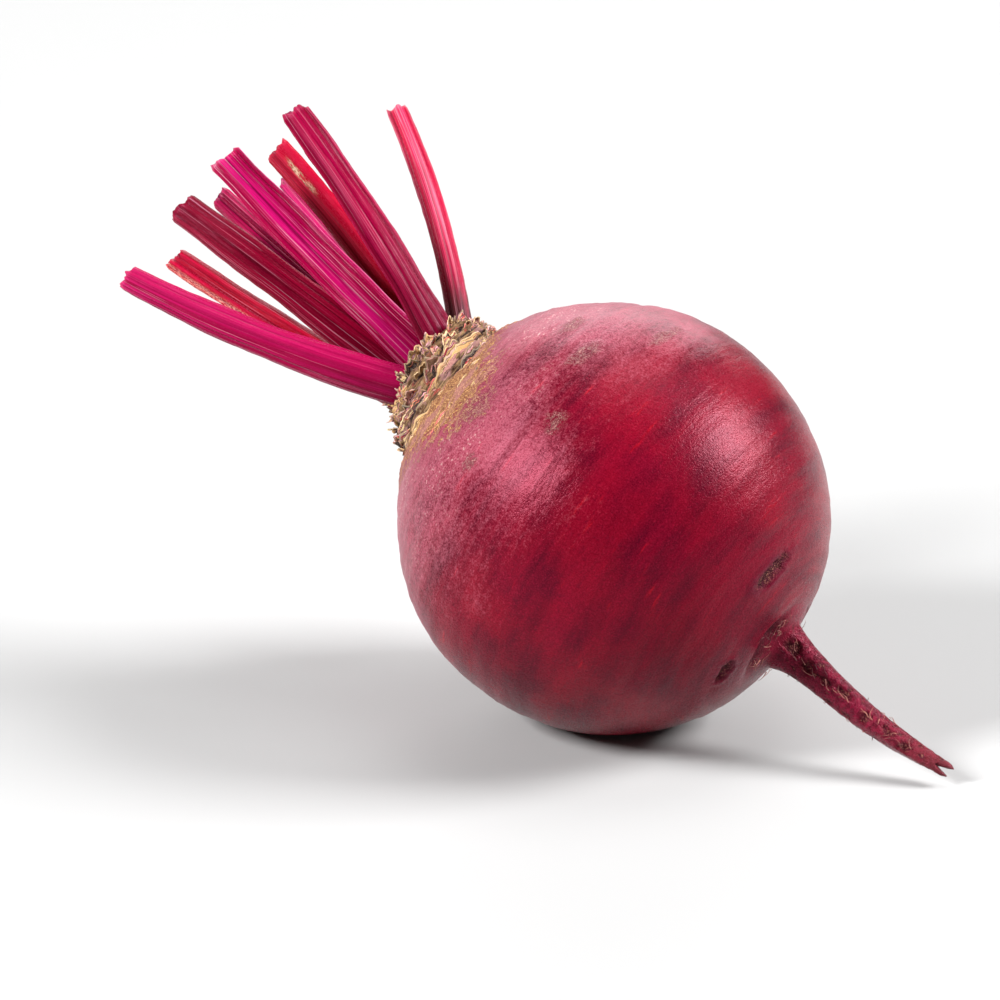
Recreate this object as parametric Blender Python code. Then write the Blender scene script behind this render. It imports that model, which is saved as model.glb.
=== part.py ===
"""A globe beetroot, pulled and with its leaf stalks cut short, lying on its side.

Every piece is modelled upright in the beetroot's own axes: Z runs from the tail to the crown
through the centre of the globe, and X is the side that ends up on top. The empty beet_axis
then lays the whole beetroot down on the small flat spot under its globe. Metres throughout.
"""

import math
import random
from collections import namedtuple

import bmesh
import bpy
from mathutils import Matrix, Vector, noise

MM = 0.001

# Globe and tail root
GLOBE_RADIUS = 38.0 * MM
CROWN_SEAT_RADIUS = 16.2 * MM  # the flat disc on the globe that the crown grows on
CROWN_SEAT_TILT = 12.0  # the disc faces this far off the axis
CROWN_SEAT_TILT_ANGLE = -58.0
TAIL_LENGTH = 36.5 * MM
TAIL_RADIUS = 2.7 * MM  # just past the neck
TAIL_TIP_RADIUS = 1.2 * MM
NECK_FLARE = 1.8 * MM  # how much thicker the tail is where it leaves the globe
NECK_FADE = 4.0 * MM  # the length over which that thickening dies away
NECK_BLEND = 2.0 * MM
TAIL_WANDER = 0.7 * MM  # sideways wander of the tail
TAIL_WAVE = 46.0 * MM
LUMP_HEIGHT = 0.45 * MM  # uneven growth of the globe
LUMP_SIZE = 24.0 * MM
FURROW_DEPTH = 0.5 * MM  # the two furrows that the side roots grow from
FURROW_HALF_ANGLE = 13.0
FURROW_ANGLES = (-58.0, 122.0)
ROOT_SEGMENTS = 40
GLOBE_RINGS = 30
TAIL_RINGS = 12
LAST_GLOBE_ANGLE = 172.0

# Crown: the corky short stem with the dry bases of fallen leaves
JOINT_GAP = 0.3 * MM
CROWN_TOP = 42.8 * MM  # height above the globe's centre
CROWN_BASE_RADIUS = 15.5 * MM
CROWN_TOP_RADIUS = 10.6 * MM
CROWN_DISH = 1.8 * MM  # depth of the dished top that the stalks stand in
CROWN_LEAN = 2.0 * MM  # how far the top has grown towards the light
CROWN_LEAN_ANGLE = 32.0
CROWN_SEGMENTS = 36
CROWN_SHARES = (0.0, 0.3, 0.6, 0.9)
SCALE_THICKNESS = 0.8 * MM
SCALE_ROOT_DEPTH = 0.8 * MM
SCALE_STATIONS = 6
SCALE_SEED = 11
# Each tier of scales: share of the crown's height, number, half span in degrees, how far
# the scales stand off the crown in degrees, length
SCALE_TIERS = (
    (0.20, 8, 25.0, 46.0, 2.3 * MM),
    (0.42, 8, 25.0, 52.0, 2.4 * MM),
    (0.64, 8, 26.0, 52.0, 2.5 * MM),
    (0.86, 9, 22.0, 24.0, 2.6 * MM),
)

# Leaf stalks
FOOT_DEPTH = 4.6 * MM  # how far a stalk is sunk in the crown
FOOT_WIDTH_SHARE = 0.62
RIB_HEIGHT = 0.22 * MM
RIB_COUNT = 4
CHANNEL_DEPTH_SHARE = 0.45
STALK_POINTS = 18
STALK_RINGS = 9
LINE_STEP = 0.5 * MM
CUT_SLANT = -7.0
SOCKET_GAP = 0.5 * MM
SOCKET_REACH = 9.0 * MM  # from the foot to well clear of the scales
SOCKET_POINTS = 12
SOCKET_RINGS = 3

# Angles in degrees, lengths in millimetres. Seat is where the stalk's middle leaves the
# crown, heading is the way that it leans, and facing is the way that its ribbed back looks.
Stalk = namedtuple(
    "Stalk",
    "seat_angle seat_distance heading foot_lean tip_lean length width tip_width thickness facing look",
)
STALKS = {
    "stalk_low_front": Stalk(-88, 6.8, -117, 25, 10, 54.5, 7.6, 4.6, 4.2, -78, "crimson"),
    "stalk_low_back": Stalk(166, 7.4, 172, 9, 3.5, 56.0, 5.4, 4.8, 3.2, 150, "red"),
    "stalk_middle": Stalk(166, 2.8, -51, 12, -5, 56.5, 7.8, 6.2, 3.2, -58, "crimson"),
    "stalk_middle_back": Stalk(116, 5.6, 98, 5, 13, 58.0, 4.8, 4.2, 3.2, 110, "crimson"),
    "stalk_broad_front": Stalk(-12, 3.2, -13, 10, 14, 53.5, 7.4, 6.3, 3.4, -50, "magenta"),
    "stalk_scabbed": Stalk(50, 4.5, 44, 19, 10.5, 52.0, 5.6, 5.3, 3.0, 100, "red"),
    "stalk_thin_back": Stalk(86, 7.8, 73, 12, 16, 51.0, 4.0, 3.6, 3.0, 86, "magenta"),
    "stalk_high_front": Stalk(-8, 8.9, 12, 26, 17.5, 49.3, 6.8, 5.4, 3.8, -30, "crimson"),
    "stalk_high_back": Stalk(40, 10.0, 47, 43, 28, 46.4, 5.0, 4.0, 4.8, 20, "rose"),
}

# How the beetroot lies
AXIS_RISE = 27.0  # the crown end is this far above level
FLAT_SPOT_RADIUS = 10.0 * MM
FLAT_SPOT_DEPTH = GLOBE_RADIUS - math.sqrt(GLOBE_RADIUS**2 - FLAT_SPOT_RADIUS**2)

SEAT_DISTANCE = math.sqrt(GLOBE_RADIUS**2 - CROWN_SEAT_RADIUS**2)

# Colour, roughness
FINISHES = {
    "skin": ((0.23, 0.012, 0.035), 0.5),
    "cork": ((0.42, 0.28, 0.15), 0.9),
    "crimson": ((0.33, 0.003, 0.05), 0.35),
    "magenta": ((0.55, 0.01, 0.16), 0.35),
    "red": ((0.45, 0.006, 0.03), 0.4),
    "rose": ((0.6, 0.06, 0.14), 0.45),
}


def clear_scene():
    for thing in list(bpy.data.objects):
        bpy.data.objects.remove(thing, do_unlink=True)


def finish(name):
    """The material called name, made the first time it is asked for."""
    material = bpy.data.materials.get(name)
    if material:
        return material
    colour, roughness = FINISHES[name]
    material = bpy.data.materials.new(name)
    material.use_nodes = True
    shader = material.node_tree.nodes["Principled BSDF"]
    shader.inputs["Base Color"].default_value = (*colour, 1.0)
    shader.inputs["Roughness"].default_value = roughness
    shader.inputs["Metallic"].default_value = 0.0
    return material


def add_object(name, bm, parent, finish_name):
    """Turns bm into a smooth-shaded object under parent."""
    bmesh.ops.recalc_face_normals(bm, faces=bm.faces)
    mesh = bpy.data.meshes.new(name)
    bm.to_mesh(mesh)
    bm.free()
    mesh.shade_smooth()
    mesh.set_sharp_from_angle(angle=math.radians(40))
    thing = bpy.data.objects.new(name, mesh)
    bpy.context.scene.collection.objects.link(thing)
    thing.parent = parent
    thing.data.materials.append(finish(finish_name))
    return thing


def apply_modifiers(thing):
    """Leaves thing with the mesh that its modifiers make."""
    bpy.context.view_layer.update()
    graph = bpy.context.evaluated_depsgraph_get()
    made = bpy.data.meshes.new_from_object(thing.evaluated_get(graph), depsgraph=graph)
    thing.modifiers.clear()
    thing.data = made


def boolean(thing, operation, collection):
    """Joins thing with, or cuts it by, every object of collection, and removes them."""
    modifier = thing.modifiers.new(operation.title(), "BOOLEAN")
    modifier.operation = operation
    modifier.operand_type = "COLLECTION"
    modifier.collection = collection
    modifier.solver = "EXACT"
    apply_modifiers(thing)
    for helper in list(collection.objects):
        bpy.data.objects.remove(helper, do_unlink=True)
    bpy.data.collections.remove(collection)


def add_box(name, size, parent):
    bm = bmesh.new()
    bmesh.ops.create_cube(bm, size=size)
    return add_object(name, bm, parent, "cork")


def move_to(thing, collection):
    """Keeps a helper out of the render, in the collection that a Boolean reads."""
    thing.hide_render = True
    thing.display_type = "WIRE"
    bpy.context.scene.collection.objects.unlink(thing)
    collection.objects.link(thing)


def helper_collection(name):
    collection = bpy.data.collections.new(name)
    bpy.context.scene.collection.children.link(collection)
    return collection


def loft(bm, rings):
    """Joins closed rings of points, first to last, into one solid with flat ends."""
    loops = []
    for ring in rings:
        corners = [bm.verts.new(point) for point in ring]
        pairs = zip(corners, corners[1:] + corners[:1])
        loops.append([bm.edges.new(pair) for pair in pairs])
    for lower, upper in zip(loops, loops[1:]):
        bmesh.ops.bridge_loops(bm, edges=lower + upper)
    for end in (loops[0], loops[-1]):
        bmesh.ops.contextual_create(bm, geom=end)


def smooth_max(a, b, blend):
    return (a + b + math.sqrt((a - b) ** 2 + blend**2)) / 2


def tail_radius(past_neck):
    """Radius of the tail at this distance from the globe's end."""
    share = max(past_neck, 0.0) / TAIL_LENGTH
    taper = TAIL_RADIUS - (TAIL_RADIUS - TAIL_TIP_RADIUS) * share**2
    return taper + NECK_FLARE * math.exp(-max(past_neck, 0.0) / NECK_FADE)


def root_profile():
    """(radius, height) points from the top of the globe down to the tip of the tail."""
    last = math.radians(LAST_GLOBE_ANGLE)
    points = []
    for i in range(GLOBE_RINGS + 1):
        angle = last * i / GLOBE_RINGS
        globe = GLOBE_RADIUS * math.sin(angle)
        # On the upper half the tail has no part in the outline
        radius = globe if angle < math.pi / 2 else smooth_max(globe, tail_radius(0), NECK_BLEND)
        points.append((radius, GLOBE_RADIUS * math.cos(angle)))
    for i in range(1, TAIL_RINGS + 1):
        past_neck = TAIL_LENGTH * i / TAIL_RINGS
        radius = smooth_max(-2 * past_neck, tail_radius(past_neck), NECK_BLEND)
        points.append((radius, -GLOBE_RADIUS - past_neck))
    points.append((0.0, -GLOBE_RADIUS - TAIL_LENGTH))
    return points


def furrow(angle, height):
    """Share of the furrow's full depth at this place, from 0 to 1."""
    depth = 0.0
    for middle in FURROW_ANGLES:
        off = (math.degrees(angle) - middle + 180) % 360 - 180
        depth += math.exp(-((off / FURROW_HALF_ANGLE) ** 2))
    low_on_globe = max(0.0, min(1.0, -height / GLOBE_RADIUS))
    return depth * low_on_globe


def grow_unevenly(point):
    """Moves a point of the turned root to where uneven growth has put it."""
    radius = math.hypot(point.x, point.y)
    if radius < 1e-6:
        return point + tail_offset(point.z)
    lump = noise.noise(point / LUMP_SIZE) * LUMP_HEIGHT * min(1.0, radius / (12 * MM))
    groove = furrow(math.atan2(point.y, point.x), point.z) * FURROW_DEPTH
    grown = (radius + lump - groove * min(1.0, radius / (4 * MM))) / radius
    return Vector((point.x * grown, point.y * grown, point.z)) + tail_offset(point.z)


def tail_offset(height):
    """Sideways wander of the tail's centre line at this height."""
    past_neck = max(0.0, -height - GLOBE_RADIUS)
    swing = TAIL_WANDER * (1 - math.cos(2 * math.pi * past_neck / TAIL_WAVE))
    return Vector((-swing, -0.4 * swing, 0.0))


def build_root(parent):
    """The swollen root and its tail, one piece, with the flat spot that it rests on."""
    bm = bmesh.new()
    corners = [bm.verts.new((radius, 0.0, height)) for radius, height in root_profile()]
    edges = [bm.edges.new(pair) for pair in zip(corners, corners[1:])]
    bmesh.ops.spin(
        bm,
        geom=corners + edges,
        axis=(0, 0, 1),
        cent=(0, 0, 0),
        angle=2 * math.pi,
        steps=ROOT_SEGMENTS,
    )
    bmesh.ops.remove_doubles(bm, verts=bm.verts, dist=0.01 * MM)
    for corner in bm.verts:
        corner.co = grow_unevenly(corner.co)
    root = add_object("root", bm, parent, "skin")

    cutters = helper_collection("root_cutters")
    size = 80 * MM
    ground = add_box("ground", size, None)
    ground.location = (0, 0, -size / 2)
    move_to(ground, cutters)
    seat = add_box("crown_seat", size, parent)
    tilt = Matrix.Rotation(math.radians(CROWN_SEAT_TILT_ANGLE), 4, "Z")
    tilt = tilt @ Matrix.Rotation(math.radians(CROWN_SEAT_TILT), 4, "Y")
    seat.location = tilt @ Vector((0, 0, SEAT_DISTANCE + size / 2))
    seat.rotation_euler = tilt.to_euler()
    move_to(seat, cutters)
    boolean(root, "DIFFERENCE", cutters)
    return root


def seat_normal():
    tilt = math.radians(CROWN_SEAT_TILT)
    angle = math.radians(CROWN_SEAT_TILT_ANGLE)
    across = math.sin(tilt)
    return Vector((across * math.cos(angle), across * math.sin(angle), math.cos(tilt)))


def crown_top():
    angle = math.radians(CROWN_LEAN_ANGLE)
    return Vector((CROWN_LEAN * math.cos(angle), CROWN_LEAN * math.sin(angle), CROWN_TOP))


def crown_point(share, angle, inset=0.0, sink=0.0):
    """A point of the crown's side, from its base (share 0) to its rim (share 1)."""
    base = seat_normal() * (SEAT_DISTANCE + JOINT_GAP)
    centre = base.lerp(crown_top(), share)
    normal = seat_normal().lerp(Vector((0, 0, 1)), share).normalized()
    first = Vector((0, 1, 0)).cross(normal).normalized()
    second = normal.cross(first)
    radius = CROWN_BASE_RADIUS + (CROWN_TOP_RADIUS - CROWN_BASE_RADIUS) * share**0.8 - inset
    return centre + (first * math.cos(angle) + second * math.sin(angle)) * radius - normal * sink


def crown_ring(share, inset=0.0, sink=0.0):
    turns = [2 * math.pi * i / CROWN_SEGMENTS for i in range(CROWN_SEGMENTS)]
    return [crown_point(share, turn, inset, sink) for turn in turns]


def scale_section(angle, share, open_angle, reach):
    """Four corners across a dry scale, rooted in the crown and standing off it."""
    here = crown_point(share, angle)
    up = (crown_point(share + 0.01, angle) - crown_point(share - 0.01, angle)).normalized()
    round_crown = (crown_point(share, angle + 0.01) - here).normalized()
    out = round_crown.cross(up)
    along = up * math.cos(open_angle) + out * math.sin(open_angle)
    across = out * math.cos(open_angle) - up * math.sin(open_angle)
    foot = here - along * SCALE_ROOT_DEPTH
    half = across * SCALE_THICKNESS / 2
    edge = here + along * reach
    return [foot - half, edge - half * 0.8, edge + half * 0.8, foot + half]


def scale_mesh(middle, share, half_span, open_angle, length, rng):
    """One dry leaf base, a crescent round the crown with an uneven edge."""
    rings = []
    wave = rng.uniform(0, 2 * math.pi)
    for i in range(SCALE_STATIONS + 1):
        across = 2 * i / SCALE_STATIONS - 1
        angle = middle + math.radians(half_span) * across
        crescent = math.sqrt(1 - across**2) * 0.9 + 0.1
        ragged = 1 + 0.22 * math.sin(2.6 * i + wave)
        lift = 0.03 * math.sin(1.7 * i + wave)
        rings.append(scale_section(angle, share + lift, open_angle, length * crescent * ragged))
    bm = bmesh.new()
    loft(bm, rings)
    return bm


def build_crown(parent):
    """The corky crown, one solid with its tiers of dry scales."""
    rings = [crown_ring(share) for share in CROWN_SHARES]
    rings.append(crown_ring(1.0, 0.8 * MM))
    rings.append(crown_ring(1.0, CROWN_TOP_RADIUS * 0.3, CROWN_DISH * 0.7))
    rings.append(crown_ring(1.0, CROWN_TOP_RADIUS * 0.65, CROWN_DISH))
    bm = bmesh.new()
    loft(bm, rings)
    crown = add_object("crown", bm, parent, "cork")

    scales = helper_collection("scales")
    rng = random.Random(SCALE_SEED)
    for tier, (share, count, half_span, stand_off, length) in enumerate(SCALE_TIERS):
        for i in range(count):
            middle = 2 * math.pi * (i + 0.5 * (tier % 2) + rng.uniform(-0.12, 0.12)) / count
            open_angle = math.radians(stand_off + rng.uniform(-8, 8))
            reach = length * rng.uniform(0.75, 1.1)
            mesh = scale_mesh(middle, share, half_span, open_angle, reach, rng)
            move_to(add_object(f"scale_{tier}_{i}", mesh, parent, "cork"), scales)
    boolean(crown, "UNION", scales)
    return crown


def stalk_line(stalk):
    """(point, direction) every LINE_STEP along a stalk, from its sunk foot to its cut end.

    The stalk curves in its own XZ plane, leaning towards +X, and its lean changes evenly
    with its length.
    """
    length = stalk.length * MM
    foot_lean = math.radians(stalk.foot_lean)
    tip_lean = math.radians(stalk.tip_lean)
    point = Vector((math.sin(foot_lean), 0.0, math.cos(foot_lean))) * -FOOT_DEPTH
    line = []
    for i in range(round((length + FOOT_DEPTH) / LINE_STEP) + 1):
        above = max(0.0, i * LINE_STEP - FOOT_DEPTH) / length
        lean = foot_lean + (tip_lean - foot_lean) * above
        direction = Vector((math.sin(lean), 0.0, math.cos(lean)))
        line.append((point.copy(), direction))
        point += direction * LINE_STEP
    return line


def stalk_section(width, thickness, ribs):
    """Points across a stalk: ribbed and round outside (+Y), channelled inside."""
    section = []
    for i in range(STALK_POINTS):
        turn = 2 * math.pi * i / STALK_POINTS
        x = width / 2 * math.cos(turn)
        y = thickness / 2 * math.sin(turn)
        if y > 0:
            y += ribs * math.sin(turn) * math.cos(2 * RIB_COUNT * turn)
        else:
            hollow = CHANNEL_DEPTH_SHARE * thickness * math.exp(-((3.0 * x / width) ** 2))
            y -= hollow * math.sin(turn) * ribs / RIB_HEIGHT
        section.append((x, y))
    return section


def socket_section(width, thickness):
    section = []
    for i in range(SOCKET_POINTS):
        turn = 2 * math.pi * i / SOCKET_POINTS
        x = (width / 2 + SOCKET_GAP) * math.cos(turn)
        section.append((x, (thickness / 2 + SOCKET_GAP) * math.sin(turn)))
    return section


def stalk_size(stalk, above):
    """(width, thickness, share of the full ribs) at this height along the stalk."""
    share = max(0.0, above) / (stalk.length * MM)
    width = stalk.width + (stalk.tip_width - stalk.width) * share
    thickness = stalk.thickness * (1 + width / stalk.width) / 2
    out_of_crown = max(0.0, min(1.0, 1 + above / FOOT_DEPTH))
    swell = FOOT_WIDTH_SHARE + (1 - FOOT_WIDTH_SHARE) * math.sin(out_of_crown * math.pi / 2)
    return width * swell * MM, thickness * swell * MM, out_of_crown


def place_section(section, point, direction, turn, slant=0.0):
    """The section's points in space, square to direction or cut on a slant."""
    side = Vector((0.0, 1.0, 0.0))
    out = side.cross(direction)
    across = side * math.cos(turn) - out * math.sin(turn)
    outer = out * math.cos(turn) + side * math.sin(turn)
    return [point + across * x + outer * y + direction * (x * slant) for x, y in section]


def stalk_mesh(stalk):
    """One stalk from its sunk foot to its cut end."""
    line = stalk_line(stalk)
    total = FOOT_DEPTH + stalk.length * MM
    turn = math.radians(stalk.facing - stalk.heading)
    rings = []
    for i in range(STALK_RINGS + 1):
        share = i / STALK_RINGS
        point, direction = line[round(share * (len(line) - 1))]
        width, thickness, ribs = stalk_size(stalk, share * total - FOOT_DEPTH)
        section = stalk_section(width, thickness, ribs * RIB_HEIGHT)
        slant = math.tan(math.radians(CUT_SLANT)) if i == STALK_RINGS else 0.0
        rings.append(place_section(section, point, direction, turn, slant))
    bm = bmesh.new()
    loft(bm, rings)
    return bm


def socket_mesh(stalk):
    """The hole that the foot of a stalk stands in, wider than the foot all round."""
    line = stalk_line(stalk)
    turn = math.radians(stalk.facing - stalk.heading)
    rings = []
    for i in range(SOCKET_RINGS + 1):
        along = SOCKET_REACH * i / SOCKET_RINGS
        point, direction = line[round(along / LINE_STEP)]
        width, thickness, _ = stalk_size(stalk, along - FOOT_DEPTH)
        if i == 0:
            point = point - direction * SOCKET_GAP
        rings.append(place_section(socket_section(width, thickness), point, direction, turn))
    bm = bmesh.new()
    loft(bm, rings)
    return bm


def build_stalks(parent, crown):
    """The leaf stalks, each standing in a socket of its own in the crown."""
    sockets = helper_collection("sockets")
    for name, stalk in STALKS.items():
        angle = math.radians(stalk.seat_angle)
        distance = stalk.seat_distance * MM
        seat = (distance * math.cos(angle), distance * math.sin(angle), CROWN_TOP)
        shaft = add_object(name, stalk_mesh(stalk), parent, stalk.look)
        socket = add_object(name + "_socket", socket_mesh(stalk), parent, "cork")
        for thing in (shaft, socket):
            thing.location = seat
            thing.rotation_euler = (0, 0, math.radians(stalk.heading))
        move_to(socket, sockets)
    boolean(crown, "DIFFERENCE", sockets)


def main():
    clear_scene()
    beet_axis = bpy.data.objects.new("beet_axis", None)
    bpy.context.scene.collection.objects.link(beet_axis)
    beet_axis.location = (0, 0, GLOBE_RADIUS - FLAT_SPOT_DEPTH)
    beet_axis.rotation_euler = (0, math.radians(AXIS_RISE - 90), 0)
    bpy.context.view_layer.update()

    build_root(beet_axis)
    crown = build_crown(beet_axis)
    build_stalks(beet_axis, crown)


main()
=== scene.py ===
import math
import random

import bmesh
import bpy
import numpy as np
from mathutils import Matrix, Vector, noise


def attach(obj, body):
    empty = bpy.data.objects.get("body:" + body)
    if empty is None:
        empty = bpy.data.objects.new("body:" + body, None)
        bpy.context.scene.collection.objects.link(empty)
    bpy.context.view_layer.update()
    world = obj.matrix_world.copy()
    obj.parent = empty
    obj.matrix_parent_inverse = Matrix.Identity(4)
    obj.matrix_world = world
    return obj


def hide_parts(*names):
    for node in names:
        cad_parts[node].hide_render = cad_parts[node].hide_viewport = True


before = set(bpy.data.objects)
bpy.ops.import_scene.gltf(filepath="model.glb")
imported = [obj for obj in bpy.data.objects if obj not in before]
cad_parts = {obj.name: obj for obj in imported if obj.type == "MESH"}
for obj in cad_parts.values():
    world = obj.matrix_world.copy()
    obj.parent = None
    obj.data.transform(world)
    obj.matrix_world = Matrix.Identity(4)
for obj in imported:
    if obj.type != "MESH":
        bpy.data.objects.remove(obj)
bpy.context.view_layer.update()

# The swollen root and its tail
# The part that is eaten: one round fleshy root with a thin dark red skin, running out into a
# tapering tail. It grew as one piece with the crown, and lies on its side on a small flat spot.

MM = 0.001
GLOBE_RADIUS = 38.0 * MM
GLOBE_CENTRE = Vector((0.0, 0.0, 36.665 * MM))
# Angles are in degrees, and those down the globe are counted from the crown
AXIS_RISE = 27.0
NECK_ANGLE = 172.0
TAIL_LENGTH = 36.5 * MM
TAIL_RADIUS = 2.7 * MM
TAIL_TIP_RADIUS = 1.2 * MM
NECK_FLARE = 1.8 * MM
NECK_FADE = 4.0 * MM
TAIL_WANDER = 0.7 * MM
TAIL_WAVE = 46.0 * MM
GLOBE_SEGMENTS = 72
GLOBE_RINGS = 40
TAIL_RING_ANGLE = 9.0
TAIL_STEPS = 22

# From the beetroot's own axes, with Z from tail to crown, to how it lies
BEET_TO_WORLD = Matrix.Translation(GLOBE_CENTRE) @ Matrix.Rotation(
    math.radians(AXIS_RISE - 90), 4, "Y"
)


def deselect_all():
    if bpy.context.object and bpy.context.object.mode != "OBJECT":
        bpy.ops.object.mode_set(mode="OBJECT")
    bpy.ops.object.select_all(action="DESELECT")


def only(piece):
    """Makes piece the one selected and active object."""
    deselect_all()
    piece.select_set(True)
    bpy.context.view_layer.objects.active = piece


def apply_modifier(piece, kind, **settings):
    only(piece)
    modifier = piece.modifiers.new(kind.title(), kind)
    for key, value in settings.items():
        setattr(modifier, key, value)
    bpy.ops.object.modifier_apply(modifier=modifier.name)


def read_points(piece):
    flat = np.empty(len(piece.data.vertices) * 3)
    piece.data.vertices.foreach_get("co", flat)
    return flat.reshape(-1, 3)


def write_points(piece, points):
    piece.data.vertices.foreach_set("co", np.asarray(points, float).ravel())
    piece.data.update()


def give_values(piece, name, values):
    """Keeps one number, or one vector, for each point of the piece."""
    values = np.asarray(values, float)
    kind = "FLOAT_VECTOR" if values.ndim == 2 else "FLOAT"
    layer = piece.data.attributes.new(name, kind, "POINT")
    layer.data.foreach_set("vector" if values.ndim == 2 else "value", values.ravel())


def noise_at(points, size, seed=0.0):
    """Smooth noise from -1 to 1 at each point, with lumps of this size (one or three)."""
    scaled = points / np.asarray(size) + seed
    return np.array([noise.noise(Vector(p)) for p in scaled])


def fractal_at(points, size, seed=0.0, octaves=4):
    scaled = points / np.asarray(size) + seed
    return np.array([noise.fractal(Vector(p), 0.9, 2.1, octaves) for p in scaled])


def step_between(low, high, value):
    share = np.clip((value - low) / (high - low), 0.0, 1.0)
    return share * share * (3 - 2 * share)


def bell(off, width):
    """1 where off is 0, falling away smoothly to either side."""
    return np.exp(-((off / width) ** 2))


def tail_radius(past_neck):
    past_neck = np.maximum(past_neck, 0.0)
    taper = TAIL_RADIUS - (TAIL_RADIUS - TAIL_TIP_RADIUS) * (past_neck / TAIL_LENGTH) ** 2
    return taper + NECK_FLARE * np.exp(-past_neck / NECK_FADE)


def tail_offset(height):
    """Sideways wander of the tail's centre line at this height below the globe."""
    past_neck = np.maximum(0.0, -height - GLOBE_RADIUS)
    swing = TAIL_WANDER * (1 - np.cos(2 * math.pi * past_neck / TAIL_WAVE))
    return np.stack([-swing, -0.4 * swing, 0 * swing], axis=1)


deselect_all()
bpy.ops.mesh.primitive_uv_sphere_add(
    segments=GLOBE_SEGMENTS, ring_count=GLOBE_RINGS, radius=GLOBE_RADIUS
)
skin = bpy.context.object
skin.name = "root_skin"
bpy.ops.object.mode_set(mode="EDIT")
bpy.ops.mesh.select_all(action="DESELECT")
mesh = bmesh.from_edit_mesh(skin.data)
tail_start = -GLOBE_RADIUS * math.cos(math.radians(TAIL_RING_ANGLE + 0.5))
for face in mesh.faces:
    if all(corner.co.z < tail_start for corner in face.verts):
        face.select_set(True)
mesh.select_flush_mode()
bmesh.update_edit_mesh(skin.data)
# The tail is drawn out of the globe's lowest two rings
wide = GLOBE_RADIUS * math.sin(math.radians(TAIL_RING_ANGLE))
level = -GLOBE_RADIUS * math.cos(math.radians(TAIL_RING_ANGLE))
for i in range(1, TAIL_STEPS + 1):
    past_neck = TAIL_LENGTH * i / TAIL_STEPS
    radius = float(tail_radius(np.array(past_neck)))
    bpy.ops.mesh.extrude_region_move(
        TRANSFORM_OT_translate={"value": (0, 0, -GLOBE_RADIUS - past_neck - level)}
    )
    level = -GLOBE_RADIUS - past_neck
    bpy.ops.transform.resize(
        value=(radius / wide, radius / wide, 1.0), center_override=(0, 0, 0)
    )
    wide = radius
bpy.ops.object.mode_set(mode="OBJECT")
apply_modifier(skin, "SUBSURF", levels=2, render_levels=2)

points = read_points(skin)
height = points[:, 2]
across = np.maximum(np.hypot(points[:, 0], points[:, 1]), 1e-7)
around = np.arctan2(points[:, 1], points[:, 0])
length = np.linalg.norm(points, axis=1)
from_crown = np.arccos(np.clip(height / length, -1, 1))
on_globe = step_between(-39.5 * MM, -37.0 * MM, height)
on_tail = 1 - on_globe

# The globe is brought to its true radius, and the neck is blended into the tail
def smooth_max(a, b, blend):
    return (a + b + np.sqrt((a - b) ** 2 + blend**2)) / 2


NECK_BLEND = 2.0 * MM
NECK_HEIGHT = 37.6 * MM
THINNEST = 0.05 * MM
POLE_RADIUS = 0.02 * MM
height = np.where(on_globe > 0.99, GLOBE_RADIUS * np.cos(from_crown), height)
globe_across = np.sqrt(np.maximum(GLOBE_RADIUS**2 - height**2, 0.0))
neck_radius = float(tail_radius(np.array(0.0)))
below_globe = np.maximum(0.0, -height - GLOBE_RADIUS)
target = np.where(height < 0, smooth_max(globe_across, neck_radius, NECK_BLEND), globe_across)
tail_target = smooth_max(-2 * below_globe, tail_radius(below_globe), NECK_BLEND)
target = np.where(below_globe > 0, tail_target, target)
tail_end = height < -GLOBE_RADIUS - TAIL_LENGTH + 0.4 * MM
target = np.where(tail_end, np.minimum(across, target), target)

# Distance along the skin from the crown's pole, which the skin's pattern follows
along_skin = GLOBE_RADIUS * from_crown
past_neck = np.maximum(0.0, -height - NECK_HEIGHT)
neck_along = GLOBE_RADIUS * math.radians(NECK_ANGLE)
along_skin = np.where(past_neck > 0, neck_along + past_neck, along_skin)
unit = np.stack([np.cos(around), np.sin(around)], axis=1)
skin_place = np.stack([unit[:, 0] * target, unit[:, 1] * target, along_skin], axis=1)
degrees_round = np.degrees(around)
degrees_down = np.degrees(from_crown)


def angle_off(angles, middle):
    return (angles - middle + 180) % 360 - 180


def patch(down, round_it, long_mm, wide_mm, seed, turn=0.0):
    """1 inside an uneven patch on the globe, fading to 0 outside it.

    down is its angle from the crown and round_it its angle round the axis, in degrees.
    Its long side runs round the globe, turned by turn degrees.
    """
    x = np.radians(angle_off(degrees_round, round_it)) * GLOBE_RADIUS * math.sin(math.radians(down))
    y = np.radians(degrees_down - down) * GLOBE_RADIUS
    c, s = math.cos(math.radians(turn)), math.sin(math.radians(turn))
    u = (x * c + y * s) / (long_mm * MM / 2)
    v = (y * c - x * s) / (wide_mm * MM / 2)
    near = np.hypot(u, v) < 2.5
    uneven = np.zeros_like(u)
    where = np.nonzero(near)[0]
    if len(where):
        uneven[where] = fractal_at(skin_place[where], 1.6 * MM, seed)
    inside = step_between(1.25, 0.75, np.hypot(u, v) + 0.35 * uneven)
    return np.where(near & (on_globe > 0.5), inside, 0)


# Old damage that has healed dark and sunken: down, round, length, width, depth, turn
SCARS = (
    (148.5, -33.0, 8.2, 2.0, 0.8, 0.0),
    (156.0, -97.0, 4.2, 2.0, 0.8, 10.0),
    (127.0, 64.0, 5.5, 1.8, 0.6, -14.0),
    (141.0, 158.0, 6.0, 2.2, 0.7, 8.0),
)
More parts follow.
